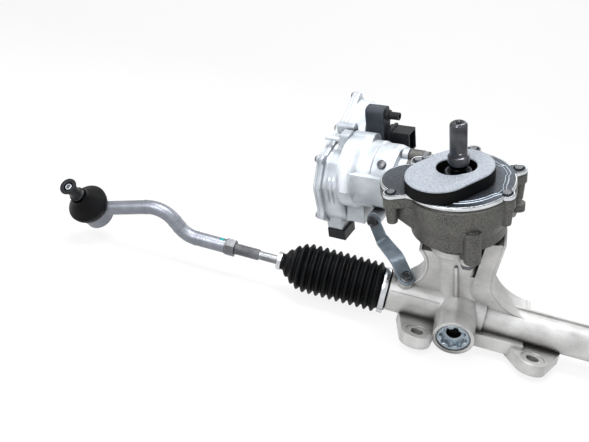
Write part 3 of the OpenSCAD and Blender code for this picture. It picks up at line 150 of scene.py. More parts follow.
def add(tree, kind, inputs=None, stops=(), **settings):
    """Adds a node with its settings and links, and returns its outputs. An input is a socket to link, a hex
    colour or a value, and a colour ramp's stops are (position, hex colour)."""
    node = tree.nodes.new("ShaderNode" + kind)
    for key, value in settings.items():
        setattr(node, key, value)
    for k, (position, colour) in enumerate(stops):
        node.color_ramp.elements[k].position = position
        node.color_ramp.elements[k].color = hex_colour(colour)
    for key, value in (inputs or {}).items():
        if isinstance(value, bpy.types.NodeSocket):
            tree.links.new(value, node.inputs[key])
        else:
            node.inputs[key].default_value = hex_colour(value) if isinstance(value, str) else value
    return node.outputs


def new_material(name):
    """An empty material. Returns it, its tree and the place on the object, in metres."""
    m = bpy.data.materials.new(name)
    m.use_nodes = True
    m.node_tree.nodes.clear()
    return m, m.node_tree, add(m.node_tree, "TexCoord")["Object"]


def close(m, tree, height, depth_mm, edge_mm, inputs):
    """Ends a material: relief of depth_mm from a height between 0 and 1, over edges rounded by edge_mm, and a
    shader with the other inputs."""
    below = {"Height": height, "Distance": depth_mm * MM, "Strength": 1.0}
    if edge_mm:
        below["Normal"] = add(tree, "Bevel", {"Radius": edge_mm * MM}, samples=4)[0]
    relief = add(tree, "Bump", below)[0]
    shader = add(tree, "BsdfPrincipled", {**inputs, "Normal": relief})
    add(tree, "OutputMaterial", {"Surface": shader[0]})
    return m


def cast_metal(name, dark, light, edge_mm, grain_mm=1.1, grain_depth=0.05, rough=(0.42, 0.6), metallic=0.4):
    """Sand-blasted aluminium casting: fine pimpled grain, cloudy tone, softly rounded edges, and painted
    shade: a darker tone in the corners, from ambient occlusion. The real grain is about 0.3 mm, and it is drawn
    at about 1 mm, because a finer one wouldn't show."""
    m, tree, place = new_material(name)
    clouds = add(tree, "TexNoise", {"Vector": place, "Scale": PER_M / 28, "Detail": 4})[0]
    grain = add(tree, "TexNoise", {"Vector": place, "Scale": PER_M / grain_mm, "Detail": 2})[0]
    # painted shade: ambient occlusion darkens the tone in corners and recesses, down to a warm grey
    occlusion_for_painted_shade = add(tree, "AmbientOcclusion", {"Distance": 14 * MM}, samples=6)["AO"]
    tone = add(tree, "ValToRGB", {"Fac": clouds}, [(0.3, dark), (0.7, light)])[0]
    speck = add(tree, "ValToRGB", {"Fac": grain}, [(0.35, dark), (0.65, "#FFFFFF")])[0]
    painted_corner_shade = add(tree, "ValToRGB", {"Fac": occlusion_for_painted_shade}, [(0.25, "#6E6D69"), (0.85, "#FFFFFF")])[0]
    tone = add(tree, "Mix", {0: 0.09, 6: tone, 7: speck}, data_type="RGBA")[2]
    tone = add(tree, "Mix", {0: 1.0, 6: tone, 7: painted_corner_shade}, data_type="RGBA", blend_type="MULTIPLY")[2]
    dull = add(tree, "MapRange", {"Value": clouds, "From Min": 0.3, "From Max": 0.7,
                                  "To Min": rough[0], "To Max": rough[1]})[0]
    return close(m, tree, grain, grain_depth, edge_mm,
                 {"Base Color": tone, "Metallic": metallic, "Roughness": dull})


def steel(name, dark, light, rough, grain_mm=2.0, edge_mm=0.4, metallic=1.0, depth=0.004):
    """Turned or rolled steel: small changes of tone and gloss, a very fine unevenness and a broken edge."""
    m, tree, place = new_material(name)
    patches = add(tree, "TexNoise", {"Vector": place, "Scale": PER_M / 12, "Detail": 4})[0]
    fine = add(tree, "TexNoise", {"Vector": place, "Scale": PER_M / grain_mm, "Detail": 3})[0]
    tone = add(tree, "ValToRGB", {"Fac": patches}, [(0.3, dark), (0.7, light)])[0]
    dull = add(tree, "MapRange", {"Value": fine, "From Min": 0.3, "From Max": 0.7,
                                  "To Min": rough * 0.8, "To Max": rough * 1.2})[0]
    return close(m, tree, fine, depth, edge_mm, {"Base Color": tone, "Metallic": metallic, "Roughness": dull})


def plastic(name, colour, light, rough, edge_mm=0.5, grain_mm=0.6, depth=0.01):
    """Moulded plastic: fine spark-eroded grain, duller in broad patches. The grain is drawn some five times
    coarser than the real one, so that it shows."""
    m, tree, place = new_material(name)
    patches = add(tree, "TexNoise", {"Vector": place, "Scale": PER_M / 15, "Detail": 3})[0]
    grain = add(tree, "TexNoise", {"Vector": place, "Scale": PER_M / grain_mm, "Detail": 1})[0]
    tone = add(tree, "ValToRGB", {"Fac": patches}, [(0.3, colour), (0.7, light)])[0]
    dull = add(tree, "MapRange", {"Value": patches, "From Min": 0.3, "From Max": 0.7,
                                  "To Min": rough * 0.85, "To Max": rough * 1.15})[0]
    return close(m, tree, grain, depth, edge_mm,
                 {"Base Color": tone, "Specular IOR Level": 0.2, "Roughness": dull})


def rubber(name, colour, light, rough):
    """Moulded rubber: nearly black, with a waxy bloom in cloudy patches and a faint grain, also drawn coarser
    than the real one."""
    m, tree, place = new_material(name)
    bloom = add(tree, "TexNoise", {"Vector": place, "Scale": PER_M / 18, "Detail": 5,
                                   "Roughness": 0.6})[0]
    grain = add(tree, "TexNoise", {"Vector": place, "Scale": PER_M / 0.7, "Detail": 2})[0]
    tone = add(tree, "ValToRGB", {"Fac": bloom}, [(0.35, colour), (0.75, light)])[0]
    dull = add(tree, "MapRange", {"Value": bloom, "From Min": 0.3, "From Max": 0.7,
                                  "To Min": rough, "To Max": rough + 0.2})[0]
    return close(m, tree, grain, 0.012, None,
                 {"Base Color": tone, "Specular IOR Level": 0.1, "Roughness": dull})


def speckled_foam(name):
    """Closed-cell foam face: pale grey with light and dark cells about a millimetre across."""
    m, tree, place = new_material(name)
    cells = add(tree, "TexVoronoi", {"Vector": place, "Scale": PER_M / 1.3})[0]
    fine = add(tree, "TexNoise", {"Vector": place, "Scale": PER_M / 1.0, "Detail": 3})[0]
    base = add(tree, "ValToRGB", {"Fac": fine}, [(0.3, "#676E77"), (0.7, "#989FA8")])[0]
    speck = add(tree, "ValToRGB", {"Fac": cells}, [(0.1, "#D6DAE0"), (0.8, "#7B8088")])[0]
    tone = add(tree, "Mix", {0: 0.3, 6: base, 7: speck}, data_type="RGBA")[2]
    return close(m, tree, cells, 0.15, None, {"Base Color": tone, "Roughness": 0.92})


def seen_directly(tree):
    """1 for what the camera sees, also by reflection or through something clear, and 0 for light."""
    path = add(tree, "LightPath")
    most = path["Is Camera Ray"]
    for kind in ("Is Glossy Ray", "Is Transmission Ray"):
        most = add(tree, "Math", {0: most, 1: path[kind]}, operation="MAXIMUM")[0]
    return most


def white_paper(name):
    """Matt paper that lights the object as paper does, and is seen as nearly white with a soft shadow."""
    m, tree, _ = new_material(name)
    shader = add(tree, "BsdfPrincipled", {"Base Color": "#E6E6E6", "Roughness": 0.9, "Specular IOR Level": 0.1})
    glow = add(tree, "Emission", {"Color": "#FFFFFF", "Strength": 1.0})
    share = add(tree, "Math", {0: seen_directly(tree), 1: 0.86}, operation="MULTIPLY")
    both = add(tree, "MixShader", {0: share[0], 1: shader[0], 2: glow[0]})
    add(tree, "OutputMaterial", {"Surface": both[0]})
    return m


# Each finish is named for what it is, and the comment above it says what that gives the eye.
MATERIALS = {
    # smooth bluish white, with no print
    "label": plastic("blank_paper_label", "#D8DFE7", "#E3E9EF", 0.45, 0.2, 0.5, 0.004),
    # a flat, slightly uneven dab of colour
    "teal": plastic("teal_paint_mark", "#1E8F8B", "#2FA39D", 0.5, 0.2, 0.8, 0.01),
    # warm light grey with a pimpled skin, broad soft highlights and painted shade in the corners
    "cast": cast_metal("sand_blasted_aluminium_casting", "#9F9E9C", "#CACAC9", 1.4, rough=(0.32, 0.46),
                       metallic=0.55),
    # the casting again, painted darker and browner than the rest as shade for the bowl's shadow under the
    # cover, and nearly without highlights
    "shaded_bowl_cast": cast_metal("aluminium_casting_with_painted_shade", "#302F2C", "#464540", 1.6, 1.1, 0.03, (0.38, 0.52),
                            0.5),
    # bluish grey strip with a soft sheen along its folds
    "strap_zinc": steel("clear_zinc_plated_strip", "#6F7B85", "#8C98A2", 0.38, metallic=0.6),
    # bright and cool, smoother than the sand casting, with clear highlights on its curves
    "motor_cast": cast_metal("die_cast_aluminium_motor_case", "#9DA4AC", "#D2D8DE", 1.2, 0.9, 0.025,
                             (0.32, 0.46), 0.5),
    # dark blue grey plate that mirrors the white round it at low angles
    "cover": cast_metal("die_cast_cover_blue_grey", "#1A222B", "#303C48", 0.8, 0.8, 0.02, (0.22, 0.36), 0.7),
    # pale grey line along the cover's raised beads, lighter than the cover
    "machined_dull": steel("pale_grey_bead_on_cover", "#8A939D", "#A9B1BA", 0.4),
    # bright milled rim with a crisp highlight
    "machined": steel("machined_aluminium_edge", "#C6C9CC", "#E2E4E6", 0.3),
    # mirror-like rings
    "bearing": steel("ground_bearing_steel", "#A5A8AB", "#C3C6C9", 0.2),
    # dark wire with a thin oily gloss
    "spring": steel("oil_tempered_spring_steel", "#54565A", "#6F7276", 0.35),
    # grey and almost matt, so that edges show more than faces
    "bare_steel": steel("phosphated_bare_steel", "#56575A", "#747578", 0.5, metallic=0.75, depth=0.01),
    # mid grey with a long soft highlight down the rod
    "rod": steel("drawn_steel_rod", "#6B6D70", "#898B8E", 0.42, metallic=0.85),
    # dark grey with forging scale that breaks the highlight
    "dark_steel": steel("dark_forged_steel", "#4E4F52", "#6A6B6E", 0.42, depth=0.02),
    # clean light steel with sharp highlights
    "bright": steel("ground_bright_steel", "#B5B7BA", "#D5D7DA", 0.24),
    # light blue grey, brighter on its facets
    "zinc": steel("zinc_plated_steel", "#808B94", "#A9B4BD", 0.34, metallic=0.75),
    # nearly black steel with a narrow bright streak
    "shaft": steel("polished_dark_shaft_steel", "#333437", "#5A5B5F", 0.18),
    # even silver grey coat with a wide satin highlight
    "silver": steel("satin_silver_coated_forging", "#74777F", "#81848C", 0.4, metallic=0.7, depth=0.012),
    # black folds with a thin waxy light on their crests
    "rubber": rubber("moulded_black_rubber", "#060607", "#0E0F11", 0.38),
    # black and duller than the boots
    "seal": rubber("seal_rubber", "#070708", "#0E0E0F", 0.45),
    # matt pale grey with salt and pepper cells
    "foam": speckled_foam("speckled_grey_foam"),
    # charcoal with a low sheen
    "liner": plastic("filled_bearing_plastic", "#2E2F31", "#3B3C3E", 0.5),
    # warm off-white, a little glossy
    "ivory": plastic("natural_nylon", "#D8D0B8", "#E4DDC8", 0.38),
    # black with a fine grain that catches light on its edges
    "black_plastic": plastic("black_glass_filled_nylon", "#121315", "#1E2023", 0.36),
    # slate grey and matt
    "grey_plastic": plastic("dark_grey_glass_filled_plastic", "#30343B", "#3E434B", 0.46),
    # brown metal with the gloss of enamelled wire
    "copper": steel("laminated_core_with_copper_winding", "#8A5A3A", "#A8714B", 0.4),
    # dark grey stack with a dull shine
    "magnet": steel("laminated_core_with_magnets", "#3C3D40", "#515256", 0.4),
    # deep green varnish
    "board": plastic("green_circuit_board", "#123D28", "#1B5236", 0.3),
}

# A star stands for each side of the rack.
NODE_FINISH = {
    "cast": ["rack_housing", "yoke"],
    # the gear bowl takes the darker copy of the casting, painted shade for the shadow it lies in
    "shaded_bowl_cast": ["gear_housing"],
    "motor_cast": ["motor_housing", "ecu_housing", "ecu_cover"],
    "cover": ["housing_cover"],
    "bearing": ["lower_bearing", "upper_bearing", "worm_bearings", "worm_wheel_hub"],
    "spring": ["yoke_spring", "torsion_bar"],
    "dark_steel": ["*_inner_socket"],
    "rod": ["*_tie_rod"],
    "bright": ["rack_bar", "*_stud", "pinion_shaft", "worm_shaft", "boot_clamps", "*_boot_ring"],
    "bare_steel": ["*_jam_nut", "housing_screws", "motor_screws"],
    "zinc": ["yoke_plug", "ecu_screws", "support_bracket", "bracket_bolts"],
    "shaft": ["input_shaft"],
    "silver": ["*_rod_end"],
    "rubber": ["*_boot", "*_dust_boot"],
    "seal": ["input_seal", "dash_seal"],
    "foam": ["dash_seal_face"],
    "liner": ["rack_bushes"],
    "ivory": ["*_inner_seat", "*_outer_seat", "worm_wheel_rim"],
    "black_plastic": ["torque_sensor", "power_connector", "signal_connector", "sensor_connector", "*_stud_cap"],
    "grey_plastic": ["connector_header"],
    "copper": ["motor_stator"],
    "magnet": ["motor_rotor"],
    "board": ["ecu_board"],
}
for finish, members in NODE_FINISH.items():
    for name in {member.replace("*", side) for member in members for side in SIDES}:
        nodes[name].data.materials.clear()
        nodes[name].data.materials.append(MATERIALS[finish])


# ---------------------------------------------------------------- surfaces

def around(count):
    """That many even angles round a circle."""
    return np.arange(count) * TAU / count


def circle(a):
    """Unit directions at the angles a."""
    return np.stack([np.cos(a), np.sin(a)], -1)


def softened(r, passes):
    """Softens the corners of a closed outline by repeated averaging of neighbours."""
    for _ in range(passes):
        r = (np.roll(r, 1) + 2 * r + np.roll(r, -1)) / 4
    return r


def mesh_piece(name, points, faces, material, body=None, stands_for=None):
    """A mesh from points in millimetres and faces, with its place in its vertices, the body that it
    rides on and the node that it stands for."""
    mesh = bpy.data.meshes.new(name)
    faces = faces.tolist() if isinstance(faces, np.ndarray) else faces
    mesh.from_pydata((np.asarray(points, float).reshape(-1, 3) * MM).tolist(), [], faces)
    mesh.materials.append(MATERIALS[material])
    mesh.polygons.foreach_set("use_smooth", np.ones(len(mesh.polygons), bool))
    mesh.validate()
    o = bpy.data.objects.new(name, mesh)
    bpy.context.scene.collection.objects.link(o)
    if body:
        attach(o, body)
    if stands_for:
        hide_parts(stands_for)
    return o


def grid_faces(rows, columns, close_rows, close_columns):
    """Quads of a grid of points, row by row, closed round where asked."""
    r = np.arange(rows if close_rows else rows - 1)
    c = np.arange(columns if close_columns else columns - 1)
    r, c = np.meshgrid(r, c, indexing="ij")
    r2, c2 = (r + 1) % rows * columns, (c + 1) % columns
    return np.stack([r * columns + c, r * columns + c2, r2 + c2, r2 + c], -1).reshape(-1, 4)


def turned(profile, steps):
    """Closed profile of (radius, height) carried round Z: x = r cos a, y = r sin a, z = height."""
    p = np.asarray(profile, float)
    xy = p[:, None, :1] * circle(around(steps))[None]
    z = np.broadcast_to(p[:, None, 1:2], (len(p), steps, 1))
    return np.concatenate([xy, z], -1), grid_faces(len(p), steps, True, True)


def facing_out(points, faces):
    """Turns the faces round if the closed surface has its inside out, by the sign of its volume."""
    p, f = np.asarray(points, float).reshape(-1, 3), np.asarray(faces)
    a, b, c, d = (p[f[:, k]] for k in range(4))
    volume = (np.einsum("ij,ij->i", a, np.cross(b, c)) + np.einsum("ij,ij->i", a, np.cross(c, d))).sum()
    return f[:, ::-1] if volume < 0 else f


def shell(outline, wall):
    """Closed profile of a thin wall: the outline, then the same line set in by wall along its normal."""
    p = np.asarray(outline, float)
    t = np.gradient(p, axis=0)
    t /= np.linalg.norm(t, axis=1)[:, None]
    inward = np.stack([-t[:, 1], t[:, 0]], -1)
    return np.concatenate([p, (p + wall * inward)[::-1]])


def blend_by(o, body_a, body_b, share):
    """Bakes a piece's place into its vertices; the two bodies and the share for each point are not used."""
    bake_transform(o)


# ---------------------------------------------------------------- bellows
FOLDS = 14
FOLD_POINTS = 14
NOSE_FOLDS = 3
BOOT_WALL = 1.2
CREST, ROOT = 27.9, 23.4
FOLDS_START, FOLDS_END = 8.0, 118.5
COLLAR_END = 6.5


def fold_line(first, last):
    """Outer line of folds first to last, from the nose: radius swings between root and crest by a
    rounded wave, and the first folds grow like the side of a dome."""
    bulge, dome_from, dome_folds = 0.10, 24, 3.6
    k = np.linspace(first, last, int((last - first) * FOLD_POINTS) + 1)
    z = FOLDS_START + (FOLDS_END - FOLDS_START) * k / FOLDS
    wave = 0.5 - 0.5 * np.cos(TAU * k) + bulge * np.sin(TAU * k) ** 2
    dome = np.sin(np.radians(np.clip(dome_from + k * (90 - dome_from) / dome_folds, 0, 90)))
    return np.stack([(ROOT + (CREST - ROOT) * wave) * dome, z], -1)


def boot_piece(side, name, outline, bodies, far=None, near=None):
    """Turns an outline into a thin wall along the rack, on the first body when far is None. Otherwise a share
    of the second body that grows evenly from 0 at far to 1 at near, both measured from the nose, goes unused."""
    points, faces = turned(shell(outline, BOOT_WALL), 80)
    places = at_end(side, along_rack(points, BOOT_NOSE))
    o = mesh_piece(side + "_" + name, places, facing_out(places, faces), "rubber")
    if far is None:
        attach(o, bodies[0])
    else:
        blend_by(o, *bodies, np.clip((far - points[..., 2]) / (far - near), 0, 1))
    return o


def bellows(side):
    """Boot in four lengths: folds, a cuff on the housing, a shoulder and a nose."""
    bend_at = FOLDS_START + (FOLDS_END - FOLDS_START) * NOSE_FOLDS / FOLDS
    mid_at = FOLDS_START + (FOLDS_END - FOLDS_START) * NOSE_FOLDS / 2 / FOLDS
    main = fold_line(NOSE_FOLDS, FOLDS)
    first, second = fold_line(0, NOSE_FOLDS / 2), fold_line(NOSE_FOLDS / 2, NOSE_FOLDS)
    s, knots = np.linspace(0, 1, 10), [0, 0.35, 0.6, 1]
    collar = np.stack([np.interp(s, knots, [9.0, 9.0, 9.15, first[0, 0]]),
                       np.interp(s, knots, [0.0, 4.2, 6.2, first[0, 1]])], -1)
    cuff = np.array([(22.8, 119.6), (23.2, 121), (23.2, 124), (23.2, 127.2), (23.0, 128.0)])
    seat, tie = side + "_inner_seat", side + "_tie"
    folds = boot_piece(side, "boot_folds", np.concatenate([main, cuff[:1]]), ("housing", "rack"), FOLDS_END,
                       bend_at)
    boot_piece(side, "boot_cuff", np.concatenate([main[-1:], cuff]), ("housing",))
    boot_piece(side, "boot_shoulder", second, ("rack", seat), bend_at, mid_at)
    boot_piece(side, "boot_nose", np.concatenate([collar, first[1:]]), (seat, tie), mid_at, COLLAR_END)
    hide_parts(side + "_boot")


for side in SIDES:
    bellows(side)


# ---------------------------------------------------------------- dust boots

def dust_boot(side):
    """Bulged rubber boot: it widens from the groove of the eye to a rounded belt and closes as a straight cone
    to the neck of the stud."""
    z = np.array([1.2, 1.6, 3.2, 8.0, 12.6, 14.0, 27.6, 29.2, 31.2, 31.8])
    r = np.array([19.7, 20.3, 21.0, 22.9, 23.6, 23.1, 11.2, 10.3, 10.0, 9.6])
    wall, neck = 1.5, 7.35
    fold_low, fold_high = 9.5, 23.5
    s = np.linspace(0, 1, 70)
    k = np.concatenate([[0], np.cumsum(np.hypot(np.diff(r), np.diff(z)))])
    k /= k[-1]
    outline = np.stack([np.interp(s, k, r), np.interp(s, k, z)], -1)
    for _ in range(3):
        outline[1:-1] = (outline[:-2] + 2 * outline[1:-1] + outline[2:]) / 4
    profile = shell(outline, wall)
    profile[:, 0] = np.maximum(profile[:, 0], neck)
    points, faces = turned(profile, 72)
    places = at_end(side, on_stud(points))
    o = mesh_piece(side + "_dust_boot_soft", places, facing_out(places, faces), "rubber",
                   stands_for=side + "_dust_boot")
    blend_by(o, side + "_tie", side + "_outer_seat",
             np.clip((points[..., 2] - fold_low) / (fold_high - fold_low), 0, 1))


for side in SIDES:
    dust_boot(side)


# ---------------------------------------------------------------- foam face of the bulkhead seal

def stadium(centres, radius, directions):
    """Outline round two equal circles: each direction's farthest point, centre plus radius times direction."""
    a, b = (np.asarray(c, float) for c in centres)
    ahead = (directions @ (b - a)) > 0
    return np.where(ahead[:, None], b, a) + radius * directions


def foam_face():
    """Pad between the seal's outline and its hole. Across the pad the height follows a quarter round at each
    edge and is level between them."""
    low, high, edge, steps = 165.75, 167.3, 1.5, 160
    d = circle(around(steps))
    outer = stadium([(-17.7, -15.3), (2.1, 5.4)], 32.6, d)
    inner = stadium([(-5.5, 0.5), (1.5, 3.5)], 16.2, d)
    width = np.linalg.norm(outer - inner, axis=1)
    q = np.linspace(0, math.pi / 2, 6)
    reach, rise = edge * (1 - np.cos(q)), np.sin(q)
    across = np.linspace(0, 1, 12)[1:-1, None]
    share = np.concatenate([reach[:, None] / width, (edge + across * (width - 2 * edge)) / width,
                            1 - reach[::-1, None] / width])
    height = np.concatenate([rise, np.ones(len(across)), rise[::-1]])
    xy = outer[None] + (inner - outer)[None] * share[..., None]
    z = low + (high - low) * height[:, None] * np.ones_like(share)
    points = np.concatenate([xy, z[..., None]], -1)
    bottom = points[::-1].copy()
    bottom[..., 2] = low - 0.05
    points = np.concatenate([points, bottom[1:-1]])
    places = on_pinion(points)
    faces = grid_faces(len(points), steps, True, True)
    o = mesh_piece("dash_seal_foam", places, facing_out(places, faces), "foam", "housing",
                   "dash_seal_face")


foam_face()


# ---------------------------------------------------------------- threads and clamp bands

def rod_thread(side):
    """Rolled thread: radius is the rod's plus a triangle wave of the distance along it less the turn."""
    start, end, pitch, depth = 56.0, 84.9, 1.5, 0.55
    root, inside = 6.0, 5.6
    s = np.linspace(start, end, 160)
    a = around(56)
    phase = (s[:, None] / pitch - a[None] / TAU) % 1.0
    fade = np.clip(np.minimum(s - start, end - s) / 1.2, 0, 1)[:, None]
    r = root + depth * (1 - np.abs(2 * phase - 1)) * fade
    r = np.pad(r, ((1, 1), (0, 0)), constant_values=inside)
    s = np.concatenate([[start], s, [end]])
    points = np.stack([-np.broadcast_to(s[:, None], r.shape), r * np.cos(a), r * np.sin(a)], -1)
    places = at_end(side, on_rack(points + [INNER_BALL, 0, 0]))
    mesh_piece(side + "_tie_rod_thread", places, facing_out(places, grid_faces(len(s), len(a), True, True)),
               "bare_steel", side + "_tie")


for side in SIDES:
    rod_thread(side)


def band(side):
    """Clamp band: a strip round the cuff whose ear is a pair of humps, radius plus two narrow bells."""
    width, wall, inner, chamfer, gap = 6.0, 0.8, 23.25, 0.15, 1.0
    a = around(180)
    ear = np.exp(-((a - 4.1) / 0.055) ** 4) + 0.55 * np.exp(-((a - 4.32) / 0.05) ** 4)
    out = inner + wall + 3.2 * ear
    low = inner + 2.6 * ear
    rows = [(low, 0.0), (out - chamfer, 0.0), (out, 2 * chamfer), (out, width - 2 * chamfer),
            (out - chamfer, width), (low, width)]
    r = np.array([k[0] for k in rows])
    x = np.array([k[1] for k in rows])[:, None] * np.ones_like(r) + HOUSING_END + gap
    places = at_end(side, on_rack(np.stack([x, r * np.cos(a), r * np.sin(a)], -1)))
    return places.reshape(-1, 3), facing_out(places, grid_faces(len(rows), len(a), True, True))


def bands():
    """Both clamp bands as one piece, because the solid is one."""
    (p, f), (q, g) = (band(side) for side in SIDES)
    mesh_piece("clamp_bands", np.concatenate([p, q]), np.concatenate([f, g + len(p)]), "bright",
               "housing", "boot_clamps")


bands()


# ---------------------------------------------------------------- label, paint mark and parting line

def patch(name, radius, wall, start, end, low, high, place, material, body):
    """Thin closed patch of a cylinder about Z: angle from low to high, Z from start to end, with the
    radius raised by wall on the outside and sunk by as much on the inside."""
    t = np.radians(np.linspace(low, high, 48))
    z = np.array([start, start, end, end])
    r = radius + wall * np.array([-1, 1, 1, -1])[:, None] * np.ones_like(t)
    points = np.stack([r * np.cos(t), r * np.sin(t), z[:, None] * np.ones_like(t)], -1)
    n = len(t)
    faces = np.concatenate([grid_faces(4, n, True, False), [[0, n, 2 * n, 3 * n]],
                            [[4 * n - 1, 3 * n - 1, 2 * n - 1, n - 1]]])
    places = place(points)
    mesh_piece(name, places, facing_out(places, faces), material, body)


patch("blank_label", 43.0, 0.14, 130.6, 141.6, -97, -29, on_motor, "label", "housing")
patch("paint_mark", 8.2, 0.05, -INNER_BALL + 98.0, -INNER_BALL + 104.0, 84, 116,
      lambda p: on_rack(np.stack([-p[..., 2], p[..., 0], p[..., 1]], -1)), "teal", "left_tie")


def ridge(name, start, end, radius, angle):
    """Parting line along a tube: a low half-round ridge, its height falling as a cosine across it and
    fading out at both ends."""
    half_width, height, sunk, under = 0.7, 0.6, 0.25, 0.6
    x = np.linspace(start, end, 60)
    v = np.linspace(-math.pi / 2, math.pi / 2, 7)
    fade = np.clip(np.minimum(x - start, end - x) / 2.0, 0, 1)[:, None]
    across = math.radians(angle) + np.append(np.sin(v), 0.0)[None] * half_width / radius
    r = radius - sunk + height * np.cos(v)[None] * fade
    r = np.pad(r, ((0, 0), (0, 1)), constant_values=radius - under)
    points = np.stack([x[:, None] * np.ones_like(r), -r * np.cos(across), r * np.sin(across)], -1)
    places = on_rack(points)
    faces = facing_out(places, grid_faces(len(x), len(v) + 1, False, True))
    mesh_piece(name, places, faces, "cast", "housing")


ridge("parting_line_barrel", -75.0, -20.0, 22.0, 24.0)


# ---------------------------------------------------------------- skins of rows of points

def skin(name, blocks, material, stands_for=None, body="housing", rings=False, sharp=38):
    """One piece from blocks of rows of points. Each block is a tube of its rows, closed by a cap on the
    first and the last row, or closed round on itself where it is a ring."""
    points, faces, start = [], [], 0
    for block in blocks:
        block = np.asarray(block, float)
        rows, n = block.shape[:2]
        faces += (grid_faces(rows, n, rings, True) + start).tolist()
        if not rings:
            faces += [list(range(start, start + n)), list(range(start + (rows - 1) * n, start + rows * n))]
        points.append(block.reshape(-1, 3))
        start += rows * n
    o = mesh_piece(name, np.concatenate(points), faces, material, body, stands_for)
    work = bmesh.new()
    work.from_mesh(o.data)
    bmesh.ops.recalc_face_normals(work, faces=work.faces)
    work.to_mesh(o.data)
    work.free()
    o.data.set_sharp_from_angle(angle=math.radians(sharp))


def level_rows(rows):
    """Rows of points at level heights. Each row is (x along the outline, y along the outline, height)."""
    return np.stack([np.stack([x, y, np.full_like(x, z)], -1) for x, y, z in rows])


def round_rows(rows, a=48, middle=(0.0, 0.0)):
    """Rows of points round an upright line. Each row is (radius, height), and the radius may be an array over
    the angles a, which may also be given as a count of even ones."""
    a = around(a) if isinstance(a, int) else a
    return level_rows([(middle[0] + r * np.cos(a), middle[1] + r * np.sin(a), z) for r, z in rows])


def round_union(circles, a, middle):
    """Outline of overlapping circles about a middle: at each angle the farthest point where the ray leaves a
    circle, the centre's share along the ray plus the half chord."""
    c, d = np.asarray(circles, float), circle(a)
    rel = c[:, None, :2] - middle
    along = (rel * d).sum(-1)
    off = rel[..., 0] * d[:, 1] - rel[..., 1] * d[:, 0]
    half = c[:, None, 2] ** 2 - off ** 2
    return np.where(half > 0, along + np.sqrt(np.maximum(half, 0)), 0).max(0)


def squared(a, power):
    """X and Y of the curve |x|^n + |y|^n = 1, a circle with its sides flattened, at the angles a."""
    c, s = np.cos(a), np.sin(a)
    return np.sign(c) * np.abs(c) ** (2 / power), np.sign(s) * np.abs(s) ** (2 / power)


def aimed(points, at, z):
    """Turns local Z to the direction z, with local X as near upright as it can be, and moves to at."""
    z, x = np.asarray(z, float) / np.linalg.norm(z), np.array([0.3, 0.2, 1.0])
    x -= z * (x @ z)
    x /= np.linalg.norm(x)
    return np.asarray(points, float) @ np.stack([x, np.cross(z, x), z]) + at


def hexagon(flats, a):
    """Radius of a hexagon over the angle: half its flats over the cosine of the angle from the nearest flat."""
    return flats / 2 / np.cos((a + math.pi / 6) % (math.pi / 3) - math.pi / 6)


# ---------------------------------------------------------------- support strap and its bolts
STRAP_TOP = np.array([-111.9, 41.6, 60.1])
STRAP_TOP_OUT = np.array([-0.251, -0.905, -0.342])
STRAP_FOLDS = np.array([[-97.2, 46.1, 37.6], [-75.9, 6.1, 36.4]])
STRAP_FOOT = np.array([-61.0, -14.25, 24.7])
STRAP_FOOT_OUT = np.array([0.0, -0.5, 0.866])
STRAP_MIDDLE_OUT = np.array([-0.54, -0.32, 0.78])
STRAP_T = 2.9


def strap():
    """Strip folded twice. Its centre line is straight between quadratic arcs at the folds, its section is a
    chamfered rectangle, and its half width follows a quarter circle at both round ends."""
    corners = np.array([STRAP_TOP, *STRAP_FOLDS, STRAP_FOOT])
    runs = np.diff(corners, axis=0)
    d = runs / np.linalg.norm(runs, axis=1)[:, None]
    out = np.array([STRAP_TOP_OUT, STRAP_MIDDLE_OUT, STRAP_FOOT_OUT])
    out -= d * (out * d).sum(1)[:, None]
    out /= np.linalg.norm(out, axis=1)[:, None]
    q = np.linspace(0.08, math.pi / 2, 12)[:, None]
    top_half, foot_half, bend = 7.6, 8.8, 6.0
    centre = [corners[0] - d[0] * top_half * np.cos(q)]
    side = [np.repeat(out[:1], len(q), 0)]
    half = [top_half * np.sin(q)]
    t = np.linspace(0, 1, 9)[:, None]
    for k in (0, 1):
        a, b, c = corners[k + 1] - d[k] * bend, corners[k + 1], corners[k + 1] + d[k + 1] * bend
        centre.append((1 - t) ** 2 * a + 2 * t * (1 - t) * b + t ** 2 * c)
        side.append((1 - t) * out[k] + t * out[k + 1])
        half.append(np.full((len(t), 1), top_half + (foot_half - top_half) * (k + 1) / 3))
    centre.append(corners[3] + d[2] * foot_half * np.cos(q[::-1]))
    side.append(np.repeat(out[2:], len(q), 0))
    half.append(foot_half * np.sin(q[::-1]))
    centre, side, half = (np.concatenate(k) for k in (centre, side, half))
    along = np.gradient(centre, axis=0)
    along /= np.linalg.norm(along, axis=1)[:, None]
    side -= along * (side * along).sum(1)[:, None]
    side /= np.linalg.norm(side, axis=1)[:, None]
    wide = np.cross(side, along)
    edge, least = 0.5, 0.2
    section = [(-1, -1, 1, 0), (1, -1, 1, 0), (1, -1, 0, 1), (1, 1, 0, 1), (1, 1, 1, 0), (-1, 1, 1, 0),
               (-1, 1, 0, 1), (-1, -1, 0, 1)]
    rows = np.stack([centre + wide * u * np.maximum(half - edge * eu, least)
                     + side * v * (STRAP_T / 2 - edge * ev) for u, v, eu, ev in section], 1)
    skin("support_strap", [on_rack(rows)], "strap_zinc", "support_bracket")


def strap_bolts():
    """Flange bolts: hexagon with its top corners cut to a cone, over a round flange, and a dished top."""
    h = hexagon(10.0, around(48))
    rows = round_rows([(6.9, 0.0), (6.9, 0.8), (6.3, 1.3), (h, 1.35), (h, 4.2), (np.minimum(h, 5.25), 4.9),
                       (3.4, 5.0), (2.9, 4.4), (0.4, 4.3)])
    lift = STRAP_T / 2 + 0.05
    heads = [on_rack(aimed(rows, at + out * lift, out))
             for at, out in ((STRAP_TOP, STRAP_TOP_OUT), (STRAP_FOOT, STRAP_FOOT_OUT))]
    skin("strap_bolts", heads, "dark_steel", "bracket_bolts")


strap()
strap_bolts()


# ---------------------------------------------------------------- plug of the yoke

